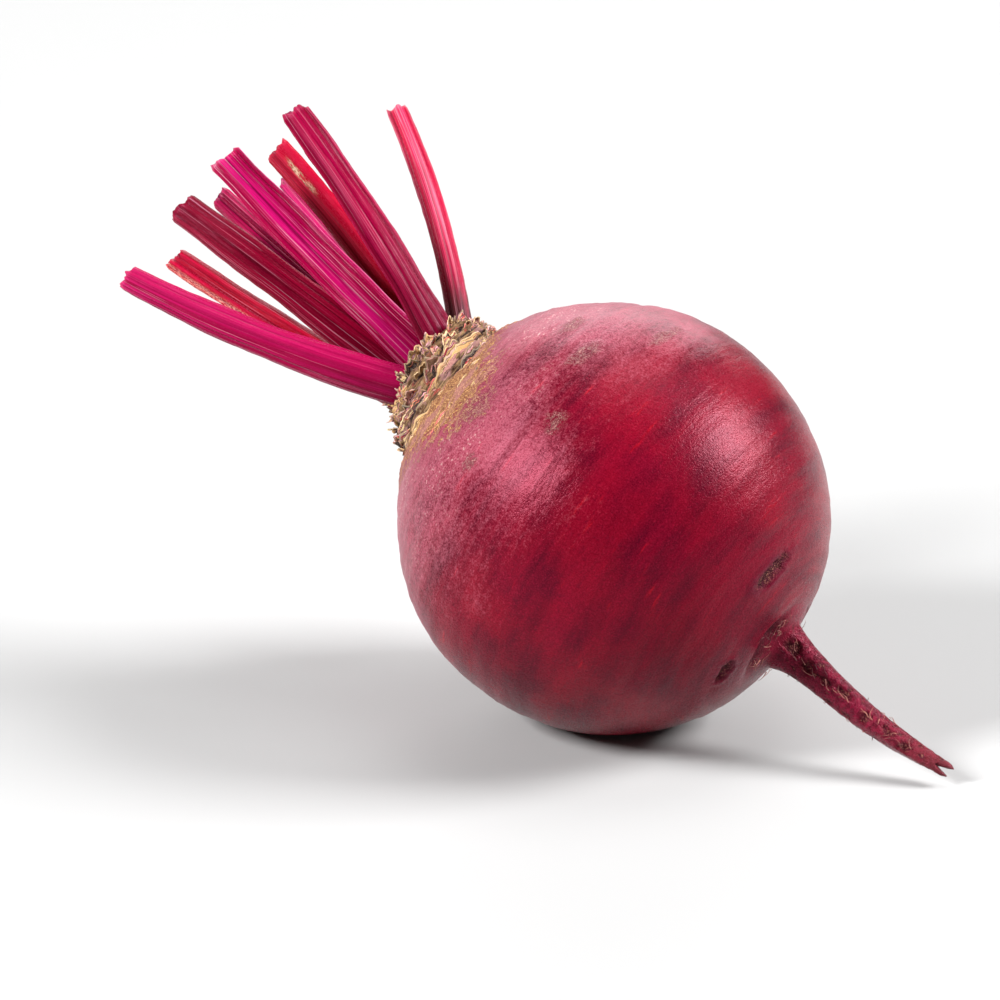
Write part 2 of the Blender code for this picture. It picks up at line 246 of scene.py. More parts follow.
# Dry corky spots, nearly level with the skin: down, round, length, width, turn
SCABS = (
    (68.0, -24.0, 7.0, 3.2, 10.0),
    (57.0, -14.0, 6.5, 2.6, 0.0),
    (76.0, -47.0, 4.6, 3.0, 0.0),
    (62.0, -70.0, 3.6, 2.2, 0.0),
    (80.0, -3.0, 9.0, 1.8, 0.0),
    (51.0, -57.0, 6.0, 5.0, 40.0),
    (72.0, 62.0, 7.0, 3.0, 15.0),
    (88.0, 118.0, 5.0, 2.4, -10.0),
    (64.0, 165.0, 6.0, 3.6, 0.0),
    (95.0, -150.0, 4.5, 2.0, 0.0),
)
scar = np.zeros_like(height)
halo = np.zeros_like(height)
dent = np.zeros_like(height)
for number, (down, round_it, long_mm, wide_mm, depth, turn) in enumerate(SCARS):
    inner = patch(down, round_it, long_mm, wide_mm, 3.0 + number, turn)
    lip = patch(down, round_it, long_mm * 1.5, wide_mm * 1.9, 3.0 + number, turn)
    scar = np.maximum(scar, inner)
    rim = patch(down, round_it, long_mm * 1.35, wide_mm * 2.3, 3.0 + number, turn)
    halo = np.maximum(halo, rim)
    dent += depth * MM * inner - 0.22 * depth * MM * (lip - inner)
scab = np.zeros_like(height)
for number, (down, round_it, long_mm, wide_mm, turn) in enumerate(SCABS):
    scab = np.maximum(scab, patch(down, round_it, long_mm, wide_mm, 20.0 + number, turn))
dent -= 0.10 * MM * scab * (1 + fractal_at(skin_place, 0.9 * MM, 7.0))

# Folds where the globe draws in to the tail, deepest on the side roots' two lines: round, half
# angle, depth
FOLDS = ((-66.0, 38.0, 1.1), (122.0, 36.0, 0.8), (78.0, 14.0, 1.1))
crease = np.zeros_like(height)
for middle, half_angle, depth in FOLDS:
    off = angle_off(degrees_round, middle)
    lie = 166.5 + 1.6 * np.cos(np.radians(off * 2.2)) + 0.8 * noise_at(skin_place, 5 * MM, middle)
    arc = bell(off, half_angle)
    crease = np.maximum(crease, arc * bell(degrees_down - lie, 1.5))
    dent += depth * MM * arc * bell(degrees_down - lie, 2.1) * on_globe
for middle in (-58.0, 122.0):
    off = angle_off(degrees_round, middle)
    groove = bell(off, 15.0) * step_between(120, 166, degrees_down)
    dent += 0.5 * MM * groove * on_globe
dent += 0.3 * MM * bell(degrees_down - 167.0, 2.4) * on_globe

# Uneven growth, faint rings round the globe, and a leathery finest grain
dent -= 0.45 * MM * noise_at(points, 24 * MM) * np.minimum(1, across / (12 * MM))
rings = fractal_at(skin_place, (30 * MM, 30 * MM, 3.4 * MM), 1.0)
dent -= 0.11 * MM * rings * on_globe * (1 + 0.8 * step_between(110, 160, degrees_down))
dent -= 0.05 * MM * fractal_at(skin_place, (7 * MM, 7 * MM, 1.4 * MM), 5.0) * on_globe
dent -= 0.028 * MM * noise_at(skin_place, 1.1 * MM, 2.0)
shoulder = step_between(80, 40, degrees_down)
dent -= 0.22 * MM * shoulder * fractal_at(skin_place, (14 * MM, 14 * MM, 3.0 * MM), 9.0)

# Shallow fold lines on the shoulder: down, round, half angle, depth
FOLD_LINES = ((69.0, -47.0, 15.0, 0.45), (63.0, 20.0, 11.0, 0.35), (70.0, 120.0, 16.0, 0.4))
for down, middle, half_angle, depth in FOLD_LINES:
    arc = bell(angle_off(degrees_round, middle), half_angle)
    dent += depth * MM * arc * bell(degrees_down - down, 1.6)

# The tail is pitted, ringed and a little twisted
ringed = fractal_at(skin_place, (5 * MM, 5 * MM, 1.2 * MM), 4.0)
pits = np.clip(fractal_at(skin_place, (1.6 * MM, 1.6 * MM, 2.2 * MM), 12.0) - 0.25, 0, 1)
dent += on_tail * (0.24 * MM * pits - 0.08 * MM * ringed)
dent -= on_tail * 0.16 * MM * np.cos(3 * around + past_neck / (7 * MM))
scar = np.maximum(scar, on_tail * step_between(0.12, 0.35, pits))
broken = step_between(-0.35, 0.25, noise_at(skin_place, 2 * MM, 8.0))
scar = np.maximum(scar, 0.75 * crease * broken)

# Pits where side roots broke off, in a row down the tail: past the neck, round, length, width
TAIL_PITS = (
    (2.6, -48.0, 3.2, 3.0),
    (6.5, -66.0, 3.0, 2.6),
    (10.6, -60.0, 2.4, 1.8),
    (14.2, -46.0, 3.4, 1.4),
    (19.8, -64.0, 2.6, 2.4),
    (24.2, -52.0, 2.6, 1.8),
    (28.4, -70.0, 2.8, 2.2),
    (9.0, 118.0, 3.0, 2.4),
    (17.0, 130.0, 2.6, 2.0),
    (25.5, 112.0, 3.0, 1.8),
)
pit = np.zeros_like(height)
tail_grain = fractal_at(skin_place, 1.1 * MM, 16.0)
for past, round_it, long_mm, wide_mm in TAIL_PITS:
    x = np.radians(angle_off(degrees_round, round_it)) * target / (wide_mm * MM / 2)
    y = (past_neck - past * MM) / (long_mm * MM / 2)
    pit = np.maximum(pit, on_tail * step_between(1.25, 0.55, np.hypot(x, y) + 0.4 * tail_grain))
dent += 0.55 * MM * pit
scar = np.maximum(scar, 0.9 * pit)

# The tail's end is snapped and forked
snapped = step_between(-GLOBE_RADIUS - TAIL_LENGTH + 3.2 * MM, -GLOBE_RADIUS - TAIL_LENGTH, height)
prong = np.abs(np.sin(np.radians(degrees_round + 57.0))) * step_between(0, 1.0 * MM, across)
fork = snapped * (0.5 * MM * noise_at(points, 0.9 * MM, 6.0) - 2.8 * MM * (1 - prong))
height = height - np.where(tail_end | (snapped > 0), fork, 0)
height = np.maximum(height, -GLOBE_RADIUS - TAIL_LENGTH - 0.2 * MM)

# How far inside the corky collar, and inside the dusty shoulder, each point lies, in degrees
def cork_limit(round_it):
    near = bell(angle_off(round_it, -57.0), 27.0)
    far = bell(angle_off(round_it, 130.0), 40.0)
    return 31.0 + 20.0 * near + 7.0 * far


cork_edge = cork_limit(degrees_round) - degrees_down
dust_limit = 84.0 + 7.0 * np.cos(np.radians(angle_off(degrees_round, 40.0)))
dust_limit -= 12.0 * bell(angle_off(degrees_round, -32.0), 16.0)
dust_and_highlight_edge = dust_limit - degrees_down
# Where the dust is thickest: down, round, length, width. The first patch lies where the left lamp's
# highlight falls and is partly a painted highlight there.
DUST_AND_HIGHLIGHT_PATCHES = (
    (77.0, -63.0, 17.0, 12.0),
    (60.0, -56.0, 14.0, 10.0),
    (66.0, -13.0, 15.0, 8.0),
    (84.0, 4.0, 17.0, 8.0),
    (70.0, 70.0, 16.0, 9.0),
    (74.0, 150.0, 18.0, 8.0),
    (66.0, -130.0, 15.0, 9.0),
)
for down, round_it, long_mm, wide_mm in DUST_AND_HIGHLIGHT_PATCHES:
    x = np.radians(angle_off(degrees_round, round_it)) * math.sin(math.radians(down)) * GLOBE_RADIUS
    y = np.radians(degrees_down - down) * GLOBE_RADIUS
    dust_and_highlight_edge += 15.0 * bell(x, long_mm * 0.55 * MM) * bell(y, wide_mm * 0.55 * MM)
corky_relief = fractal_at(skin_place, (2.6 * MM, 2.6 * MM, 1.1 * MM), 30.0)
dent -= 0.42 * MM * step_between(-3.0, 3.0, cork_edge) * (0.35 + corky_relief)
dent -= 0.05 * MM * step_between(-6.0, 20.0, dust_and_highlight_edge) * fractal_at(skin_place, 1.3 * MM, 33.0)

# Every dent goes in at right angles to the globe, and straight towards the axis on the tail
dent_across = dent * np.where(on_globe > 0.5, np.sin(from_crown), 1.0)
dent_down = dent * np.where(on_globe > 0.5, np.cos(from_crown), 0.0)
reach = np.maximum(target - dent_across, THINNEST)
reach = np.where(across < POLE_RADIUS, 0.0, reach)
reach = np.where(tail_end, np.minimum(reach, target), reach)
height = height - dent_down
moved = np.stack([unit[:, 0] * reach, unit[:, 1] * reach, height], axis=1) + tail_offset(height)
turned = moved @ np.array(BEET_TO_WORLD.to_3x3()).T + np.array(GLOBE_CENTRE)
turned[:, 2] = np.maximum(turned[:, 2], 0.0)
write_points(skin, turned)
give_values(skin, "skin_place", skin_place / MM)
give_values(skin, "scar", scar)
give_values(skin, "scab", scab)
give_values(skin, "halo", halo)
give_values(skin, "down", degrees_down)
give_values(skin, "cork_edge", cork_edge)
give_values(skin, "dust_and_highlight_edge", dust_and_highlight_edge)
give_values(skin, "tail", on_tail)
give_values(skin, "crease", crease)
only(skin)
bpy.ops.object.shade_smooth()


class Nodes:
    """Adds nodes to a material and joins their sockets, one line for each node."""

    def __init__(self, name):
        self.material = bpy.data.materials.new(name)
        self.material.use_nodes = True
        self.tree = self.material.node_tree
        self.shader = self.tree.nodes["Principled BSDF"]

    def add(self, kind, values=None, **settings):
        node = self.tree.nodes.new(kind)
        for key, value in settings.items():
            setattr(node, key, value)
        for key, value in (values or {}).items():
            self.put(node.inputs[key], value)
        return node

    def put(self, socket, value):
        if isinstance(value, bpy.types.NodeSocket):
            self.tree.links.new(value, socket)
        else:
            socket.default_value = (*value, 1.0) if socket.type == "RGBA" else value

    def attribute(self, name, output="Fac"):
        return self.add("ShaderNodeAttribute", attribute_name=name).outputs[output]

    def noise(self, place, scale, stretch=(1, 1, 1), detail=4.0, rough=0.55, shift=0.0):
        moved = self.add("ShaderNodeMapping", {"Vector": place, "Scale": stretch})
        moved.inputs["Location"].default_value = (shift, shift * 0.7, shift * 1.3)
        values = {"Vector": moved.outputs[0], "Scale": scale, "Detail": detail, "Roughness": rough}
        return self.add("ShaderNodeTexNoise", values).outputs["Fac"]

    def ramp(self, value, low, high):
        """0 below low, 1 above high, smooth between."""
        values = {"Value": value, "From Min": low, "From Max": high}
        node = self.add("ShaderNodeMapRange", values, interpolation_type="SMOOTHSTEP")
        return node.outputs[0]

    def math(self, operation, a, b=0.0):
        node = self.add("ShaderNodeMath", operation=operation)
        self.put(node.inputs[0], a)
        self.put(node.inputs[1], b)
        return node.outputs[0]

    def times(self, a, b):
        return self.math("MULTIPLY", a, b)

    def plus(self, a, b):
        return self.math("ADD", a, b)

    def minus(self, a, b):
        return self.math("SUBTRACT", a, b)

    def larger(self, a, b):
        return self.math("MAXIMUM", a, b)

    def mix(self, factor, a, b):
        node = self.add("ShaderNodeMix", data_type="RGBA")
        self.put(node.inputs[0], factor)
        self.put(node.inputs[6], a)
        self.put(node.inputs[7], b)
        return node.outputs[2]

    def tint(self, base, where, share, shade):
        """Lays this share of the shade over the base, where the value is 1."""
        return self.mix(self.times(where, share), base, shade)

    def bump(self, height, strength, distance, under=None):
        values = {"Height": height, "Strength": strength, "Distance": distance}
        if under:
            values["Normal"] = under
        return self.add("ShaderNodeBump", values).outputs[0]


def skin_material():
    """Dark red waxy skin with streaks round it, dusted pink towards the crown; one dusted patch is
    partly a painted highlight.
    """
    n = Nodes("beetroot_skin")
    place = n.attribute("skin_place", "Vector")
    down = n.attribute("down")
    tail = n.attribute("tail")

    streaks = n.noise(place, 0.070, (0.6, 0.6, 2.6), 5.0, 0.62)
    fine_streaks = n.noise(place, 0.20, (0.45, 0.45, 3.4), 4.0, 0.6, 9.0)
    clouds = n.noise(place, 0.055, (1, 1, 1.3), 3.0, 0.55, 4.0)
    pores = n.noise(place, 1.0, (1, 1, 1.2), 3.0, 0.6, 12.0)
    grain = n.noise(place, 3.3, (1, 1, 1), 2.0, 0.7, 2.0)

    def about(value, span):
        """The noise value, centred on 0 and widened."""
        return n.times(n.minus(value, 0.5), span)

    flesh = n.mix(n.ramp(streaks, 0.34, 0.66), (0.070, 0.0006, 0.008), (0.150, 0.0011, 0.012))
    flesh = n.tint(flesh, n.ramp(clouds, 0.42, 0.62), 0.5, (0.21, 0.0015, 0.011))
    bright = n.times(n.ramp(fine_streaks, 0.60, 0.74), n.ramp(streaks, 0.46, 0.60))
    flesh = n.tint(flesh, bright, 0.75, (0.38, 0.003, 0.008))
    dark = n.ramp(n.noise(place, 0.12, (0.6, 0.6, 3.0), 4.0, 0.6, 37.0), 0.56, 0.76)
    flesh = n.tint(flesh, dark, 0.34, (0.024, 0.0003, 0.004))

    # Towards the crown the skin is thicker, dull and dusted with fine cork. One patch of this dust,
    # where the left lamp's highlight falls, is partly a painted highlight.
    edge = n.plus(n.attribute("dust_and_highlight_edge"), about(clouds, 60.0))
    edge = n.plus(edge, about(fine_streaks, 30.0))
    edge = n.plus(edge, about(pores, 40.0))
    edge = n.plus(edge, about(grain, 34.0))
    dust_and_highlight = n.ramp(edge, -6.0, 34.0)
    dust = n.mix(n.ramp(grain, 0.34, 0.66), (0.29, 0.042, 0.076), (0.44, 0.15, 0.20))
    flesh = n.tint(flesh, dust_and_highlight, 0.60, dust)

    # The finest grain, lighter and darker points all over
    flesh = n.tint(flesh, n.ramp(grain, 0.50, 0.72), 0.22, (0.44, 0.012, 0.050))
    flesh = n.tint(flesh, n.ramp(grain, 0.50, 0.30), 0.20, (0.022, 0.0003, 0.004))
    flesh = n.tint(flesh, n.ramp(pores, 0.46, 0.30), 0.30, (0.05, 0.0008, 0.008))

    # Pale corky specks on the shoulder
    cells = n.add("ShaderNodeTexVoronoi", {"Vector": place, "Scale": 1.5, "Randomness": 1.0})
    speck_zone = n.times(n.ramp(down, 74.0, 48.0), n.ramp(clouds, 0.36, 0.58))
    speck = n.times(n.ramp(cells.outputs["Distance"], 0.42, 0.16), speck_zone)
    speck = n.times(speck, n.ramp(pores, 0.46, 0.60))
    flesh = n.tint(flesh, speck, 0.75, (0.62, 0.44, 0.40))

    # Near the crown the skin turns to cork
    collar = n.plus(n.attribute("cork_edge"), about(fine_streaks, 30.0))
    collar = n.plus(collar, about(pores, 26.0))
    collar = n.plus(collar, about(grain, 16.0))
    corky = n.ramp(collar, -2.0, 4.0)
    cork = n.mix(n.ramp(grain, 0.36, 0.64), (0.16, 0.055, 0.028), (0.62, 0.35, 0.135))
    cork = n.tint(cork, n.ramp(fine_streaks, 0.50, 0.62), 0.6, (0.48, 0.21, 0.21))
    cork = n.tint(cork, n.ramp(pores, 0.42, 0.30), 0.8, (0.055, 0.018, 0.016))
    flesh = n.tint(flesh, corky, 0.92, cork)

    # Healed marks: pale and granular on top, dark and crusted where they are sunken
    granular = n.ramp(grain, 0.44, 0.60)
    marked = n.times(n.attribute("scab"), n.ramp(pores, 0.36, 0.56))
    scabs = n.mix(granular, (0.19, 0.04, 0.05), (0.46, 0.27, 0.22))
    flesh = n.tint(flesh, marked, 0.55, scabs)
    sunken = n.attribute("scar")
    flesh = n.tint(flesh, n.attribute("halo"), 0.45, (0.075, 0.004, 0.018))
    crust = n.mix(n.ramp(pores, 0.42, 0.58), (0.008, 0.002, 0.004), (0.070, 0.012, 0.022))
    crust = n.tint(crust, n.ramp(grain, 0.54, 0.62), 0.75, (0.34, 0.15, 0.10))
    flesh = n.tint(flesh, sunken, 0.92, crust)

    # The tail is darker and duller, dusted pink on its ridges
    tail_skin = n.mix(n.ramp(pores, 0.40, 0.62), (0.070, 0.002, 0.011), (0.17, 0.006, 0.026))
    tail_skin = n.tint(tail_skin, granular, 0.07, (0.32, 0.08, 0.10))
    far_end = n.ramp(n.add("ShaderNodeSeparateXYZ", {"Vector": place}).outputs["Z"], 132.0, 152.0)
    tail_skin = n.tint(tail_skin, far_end, 0.6, (0.12, 0.028, 0.028))
    near_tail = n.ramp(n.plus(down, n.times(clouds, 14.0)), 166.0, 180.0)
    tail_part = n.larger(tail, n.times(near_tail, 0.7))
    bare = n.minus(0.9, n.times(sunken, 0.8))
    flesh = n.mix(n.times(tail_part, bare), flesh, tail_skin)
    fold = n.attribute("crease")
    flesh = n.tint(flesh, fold, 0.85, (0.032, 0.006, 0.010))

    n.put(n.shader.inputs["Base Color"], flesh)
    rough = n.plus(0.285, n.times(dust_and_highlight, 0.10))
    rough = n.plus(rough, n.times(n.larger(sunken, corky), 0.4))
    rough = n.plus(rough, about(grain, 0.20))
    n.put(n.shader.inputs["Roughness"], rough)
    n.shader.inputs["Specular IOR Level"].default_value = 0.30
    n.shader.inputs["Specular Tint"].default_value = (1.0, 0.22, 0.34, 1.0)
    n.shader.inputs["Sheen Weight"].default_value = 0.02
    n.shader.inputs["Sheen Roughness"].default_value = 0.45
    n.shader.inputs["Sheen Tint"].default_value = (1.0, 0.6, 0.7, 1.0)
    leathery = n.bump(grain, 0.22, 0.0003)
    leathery = n.bump(pores, 0.13, 0.0006, leathery)
    ringed = n.bump(fine_streaks, 0.10, 0.0012, leathery)
    rough_part = n.larger(n.larger(sunken, marked), corky)
    rough_part = n.larger(rough_part, n.times(tail, 0.2))
    n.put(n.shader.inputs["Normal"], n.bump(n.times(granular, rough_part), 0.7, 0.0004, ringed))
    return n.material


skin.data.materials.clear()
skin.data.materials.append(skin_material())
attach(skin, "root")
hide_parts("root")

# The crown
# The short woody stem on top of the root, corky and brown, ringed with the dry crescent scars
# and torn papery bases of leaves that have fallen. It is grown together with the root.

CROWN_SEAT_RADIUS = 16.2 * MM
CROWN_SEAT_TILT = 12.0
CROWN_SEAT_TILT_ANGLE = -58.0
CROWN_TOP = 42.8 * MM
CROWN_BASE_RADIUS = 15.5 * MM
CROWN_TOP_RADIUS = 10.6 * MM
CROWN_DISH = 2.6 * MM
CROWN_LEAN = 2.0 * MM
CROWN_LEAN_ANGLE = 32.0
CROWN_HEIGHT = 10.5 * MM
CROWN_SINK = 1.2 * MM
# The size of the crown in the space that its pattern and flakes are laid out in
CROWN_MIDDLE_RADIUS_MM = 13.0
CROWN_SIDE_MM = 11.0
SEAT_DISTANCE = math.sqrt(GLOBE_RADIUS**2 - CROWN_SEAT_RADIUS**2)

tilt = math.radians(CROWN_SEAT_TILT)
tilt_angle = math.radians(CROWN_SEAT_TILT_ANGLE)
lean_angle = math.radians(CROWN_LEAN_ANGLE)
SEAT_NORMAL = Vector(
    (math.sin(tilt) * math.cos(tilt_angle), math.sin(tilt) * math.sin(tilt_angle), math.cos(tilt))
)
CROWN_BASE = SEAT_NORMAL * (SEAT_DISTANCE - CROWN_SINK)
CROWN_PEAK = Vector(
    (CROWN_LEAN * math.cos(lean_angle), CROWN_LEAN * math.sin(lean_angle), CROWN_TOP)
)


def crown_point(share, angle, inset=0.0, sink=0.0):
    """A point of the crown's side, from its base (share 0) to its rim (share 1)."""
    centre = CROWN_BASE.lerp(CROWN_PEAK, share)
    normal = SEAT_NORMAL.lerp(Vector((0, 0, 1)), share).normalized()
    first = Vector((0, 1, 0)).cross(normal).normalized()
    second = normal.cross(first)
    radius = CROWN_BASE_RADIUS + (CROWN_TOP_RADIUS - CROWN_BASE_RADIUS) * max(share, 0) ** 0.8
    radius += 1.1 * MM * (1 - min(1.0, share / 0.12)) ** 2 - inset
    return centre + (first * math.cos(angle) + second * math.sin(angle)) * radius - normal * sink


def crown_axes(share, angle):
    """(point, up the side, round the side, outwards) on the crown, or below it on the globe."""
    if share < 0:
        foot = crown_point(0, angle).normalized()
        away = (foot * foot.dot(SEAT_NORMAL) - SEAT_NORMAL).normalized()
        turn = -share * CROWN_HEIGHT / GLOBE_RADIUS
        out = foot * math.cos(turn) + away * math.sin(turn)
        up = foot * math.sin(turn) - away * math.cos(turn)
        return out * GLOBE_RADIUS, up, up.cross(out), out
    here = crown_point(share, angle)
    up = (crown_point(share + 0.01, angle) - crown_point(max(0, share - 0.01), angle)).normalized()
    side = (crown_point(share, angle + 0.01) - here).normalized()
    return here, up, side, side.cross(up).normalized()


def extruded_tube(name, corners, rows):
    """A round tube of radius 1 and height 1, open at both ends, extruded row by row."""
    deselect_all()
    bpy.ops.mesh.primitive_circle_add(vertices=corners, radius=1.0, fill_type="NOTHING")
    tube = bpy.context.object
    tube.name = name
    bpy.ops.object.mode_set(mode="EDIT")
    bpy.ops.mesh.select_all(action="SELECT")
    for _ in range(rows):
        bpy.ops.mesh.extrude_edges_move(TRANSFORM_OT_translate={"value": (0, 0, 1 / rows)})
    return tube


def face_outwards(piece):
    """Turns every face outwards and shades the piece smooth."""
    only(piece)
    bpy.ops.object.mode_set(mode="EDIT")
    bpy.ops.mesh.select_all(action="SELECT")
    bpy.ops.mesh.normals_make_consistent(inside=False)
    bpy.ops.object.mode_set(mode="OBJECT")
    bpy.ops.object.shade_smooth()


CROWN_CORNERS = 220
CROWN_ROWS = 56
CROWN_TOP_ROWS = 9
crown = extruded_tube("crown_cork", CROWN_CORNERS, CROWN_ROWS)
for _ in range(CROWN_TOP_ROWS):
    bpy.ops.mesh.extrude_edges_move(TRANSFORM_OT_translate={"value": (0, 0, 0.01)})
    bpy.ops.transform.resize(value=(0.8, 0.8, 1.0), center_override=(0, 0, 0))
bpy.ops.mesh.edge_face_add()
bpy.ops.mesh.select_all(action="DESELECT")
bpy.ops.object.mode_set(mode="OBJECT")
blank = read_points(crown)
shares = np.clip(blank[:, 2], 0, 1)
angles = np.arctan2(blank[:, 1], blank[:, 0])
inward = 1 - np.hypot(blank[:, 0], blank[:, 1])
inward = np.where(blank[:, 2] > 1.001, inward, 0.0)
crown_round = np.stack([np.cos(angles), np.sin(angles)]) * CROWN_MIDDLE_RADIUS_MM
crown_place = np.stack([*crown_round, shares * CROWN_SIDE_MM + inward * 6], axis=1)
# Crescent ledges in uneven rows: a slow rise up the side, then a ragged drop
row_shift = 0.9 * noise_at(crown_place, (7.0, 7.0, 9.0), 3.0)
row_shift += 0.5 * noise_at(crown_place, 2.6, 5.0)
phase = (shares * 5.2 + row_shift) % 1.0
ledge = np.where(phase < 0.8, (phase / 0.8) ** 1.6, (1 - phase) / 0.2)
rough = fractal_at(crown_place, (2.2, 2.2, 1.1), 8.0)
torn = fractal_at(crown_place, (1.0, 1.0, 0.6), 2.0)
lift = (0.95 * ledge + 0.42 * rough + 0.16 * torn - 0.25) * MM
lift *= step_between(0.0, 0.10, shares)
lift -= 0.9 * MM * step_between(0.10, 0.0, shares)
shaped = []
for share, angle, inner, out in zip(shares, angles, inward, lift):
    inset = inner * CROWN_TOP_RADIUS * 0.97 - out * (1 - inner)
    sink = CROWN_DISH * min(1.0, inner * 2.2) - out * 0.8 * min(1.0, inner * 3)
    shaped.append(BEET_TO_WORLD @ crown_point(share, angle, inset, sink))
write_points(crown, shaped)
give_values(crown, "crown_place", crown_place)
give_values(crown, "ledge", ledge + 0.35 * rough)
give_values(crown, "inside", inward)
face_outwards(crown)


def crown_material():
    """Dry cork: straw on the ledges, flushed red in places, and near black in the hollows, partly
    its own dark brown and partly painted shade.
    """
    n = Nodes("crown_cork")
    place = n.attribute("crown_place", "Vector")
    fibres = n.noise(place, 1.0, (0.5, 0.5, 3.4), 5.0, 0.65)
    patches = n.noise(place, 0.26, (1, 1, 1.8), 3.0, 0.5, 5.0)
    grain = n.noise(place, 3.0, (1, 1, 1), 3.0, 0.7, 2.0)
    straw = n.mix(n.ramp(fibres, 0.36, 0.64), (0.08, 0.034, 0.018), (0.32, 0.19, 0.09))
    straw = n.tint(straw, n.ramp(patches, 0.54, 0.64), 0.7, (0.36, 0.17, 0.18))
    red = n.times(n.ramp(patches, 0.46, 0.36), n.ramp(fibres, 0.46, 0.58))
    straw = n.tint(straw, red, 0.9, (0.30, 0.006, 0.025))
    # Painted shade over the cork's own dark brown: the low part of each ledge is darkened nearly to
    # black.
    low = n.ramp(n.attribute("ledge"), 0.42, 0.08)
    brown = n.mix(n.ramp(grain, 0.4, 0.6), (0.010, 0.005, 0.007), (0.060, 0.024, 0.018))
    bark = n.tint(straw, low, 0.95, brown)
    inside = n.ramp(n.attribute("inside"), 0.02, 0.16)
    bark = n.tint(bark, inside, 0.92, (0.022, 0.007, 0.010))
    bark = n.tint(bark, n.ramp(grain, 0.54, 0.72), 0.3, (0.62, 0.46, 0.29))
    n.put(n.shader.inputs["Base Color"], bark)
    n.shader.inputs["Roughness"].default_value = 0.85
    n.shader.inputs["Specular IOR Level"].default_value = 0.2
    coarse = n.bump(fibres, 0.8, 0.0008)
    n.put(n.shader.inputs["Normal"], n.bump(grain, 0.6, 0.0003, coarse))
    return n.material


crown.data.materials.append(crown_material())
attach(crown, "root")
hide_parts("crown")

# Dry leaf bases on the crown
# Torn papery crescents left where old leaves broke off, standing out from the crown in rows.
# Each is a thin curled flake, straw-coloured or flushed pink, red or dark brown.

FLAKE_COLUMNS = 24
FLAKE_ROWS = 6
FLAKE_SEED = 5
FLAKE_THICKNESS = 0.14 * MM
BARE_SHARE = 0.08
# Share of the crown's height, number, half span in degrees, stand-off in degrees, length in
# millimetres, and how crumpled they are: long flat strips below, small curled ones at the rim
FLAKE_TIERS = (
    (-0.90, 13, 17.0, 6.0, 1.9, 0.10),
    (-0.68, 13, 19.0, 8.0, 2.0, 0.12),
    (-0.46, 13, 20.0, 8.0, 2.1, 0.14),
    (-0.24, 13, 21.0, 10.0, 2.1, 0.16),
    (-0.05, 13, 22.0, 12.0, 2.1, 0.18),
    (0.10, 13, 25.0, 14.0, 2.0, 0.2),
    (0.24, 13, 26.0, 18.0, 2.1, 0.24),
    (0.38, 13, 25.0, 24.0, 2.1, 0.3),
    (0.52, 14, 21.0, 34.0, 2.2, 0.4),
    (0.66, 15, 16.0, 46.0, 2.2, 0.6),
    (0.79, 17, 13.0, 50.0, 2.1, 0.8),
    (0.91, 18, 11.0, 40.0, 2.2, 0.9),
    (1.00, 18, 10.0, 12.0, 2.4, 0.9),
)


def flake(middle, share, half_span, stand_off, length_mm, crumpled, rng):
    """One torn crescent, from a flat grid that is wrapped round the crown and curled."""
    deselect_all()
    bpy.ops.mesh.primitive_grid_add(
        x_subdivisions=FLAKE_COLUMNS, y_subdivisions=FLAKE_ROWS, size=2.0
    )
    piece = bpy.context.object
    seed = rng.uniform(0, 50)
    curl = rng.uniform(-40, 55) * crumpled + rng.uniform(-6, 10)
    skew = rng.uniform(-0.05, 0.05)
    flat = read_points(piece)
    shaped = []
    for u, v, _ in flat:
        up_share = (v + 1) / 2
        angle = middle + math.radians(half_span) * u
        crescent = math.sqrt(max(0.0, 1 - 0.95 * abs(u) ** 2.4))
        tear = 1 + 0.5 * noise.noise(Vector((u * 2.6, seed, 0)))
        tear += 0.20 * noise.noise(Vector((u * 5.5, seed, 3)))
        tear += 0.06 * noise.noise(Vector((u * 17.0, seed, 6)))
        here, up, side, out = crown_axes(share + skew * u, angle)
        lean = math.radians(stand_off + curl * up_share**1.5)
        lean += crumpled * 0.9 * noise.noise(Vector((u * 1.8, seed, 9)))
        run = length_mm * MM * crescent * max(0.22, tear) * up_share
        crumple = (0.10 + 0.55 * crumpled) * MM * up_share
        crumple *= noise.noise(Vector((u * (2.2 + 2.3 * crumpled), v * 1.6, seed)))
        spot = here - up * 0.5 * MM - out * 0.35 * MM
        spot = spot + up * run * math.cos(lean) + out * (run * math.sin(lean) + crumple)
        shaped.append(BEET_TO_WORLD @ (spot + side * crumple * 0.8))
    write_points(piece, shaped)
    wild = 0.0 <= share and (crumpled < 0.5 or rng.random() < 0.5)
    tone = rng.random() if wild else rng.random() * 0.7
    give_values(piece, "tone", np.full(len(flat), tone))
    wide = math.radians(half_span) * CROWN_MIDDLE_RADIUS_MM
    across, up = flat[:, 0] * wide + seed, flat[:, 1] * 1.2
    give_values(piece, "flake_place", np.stack([across, up, np.full(len(flat), tone * 40)], axis=1))
    give_values(piece, "edge", (flat[:, 1] + 1) / 2)
    apply_modifier(piece, "SOLIDIFY", thickness=FLAKE_THICKNESS, offset=0.0)
    return piece


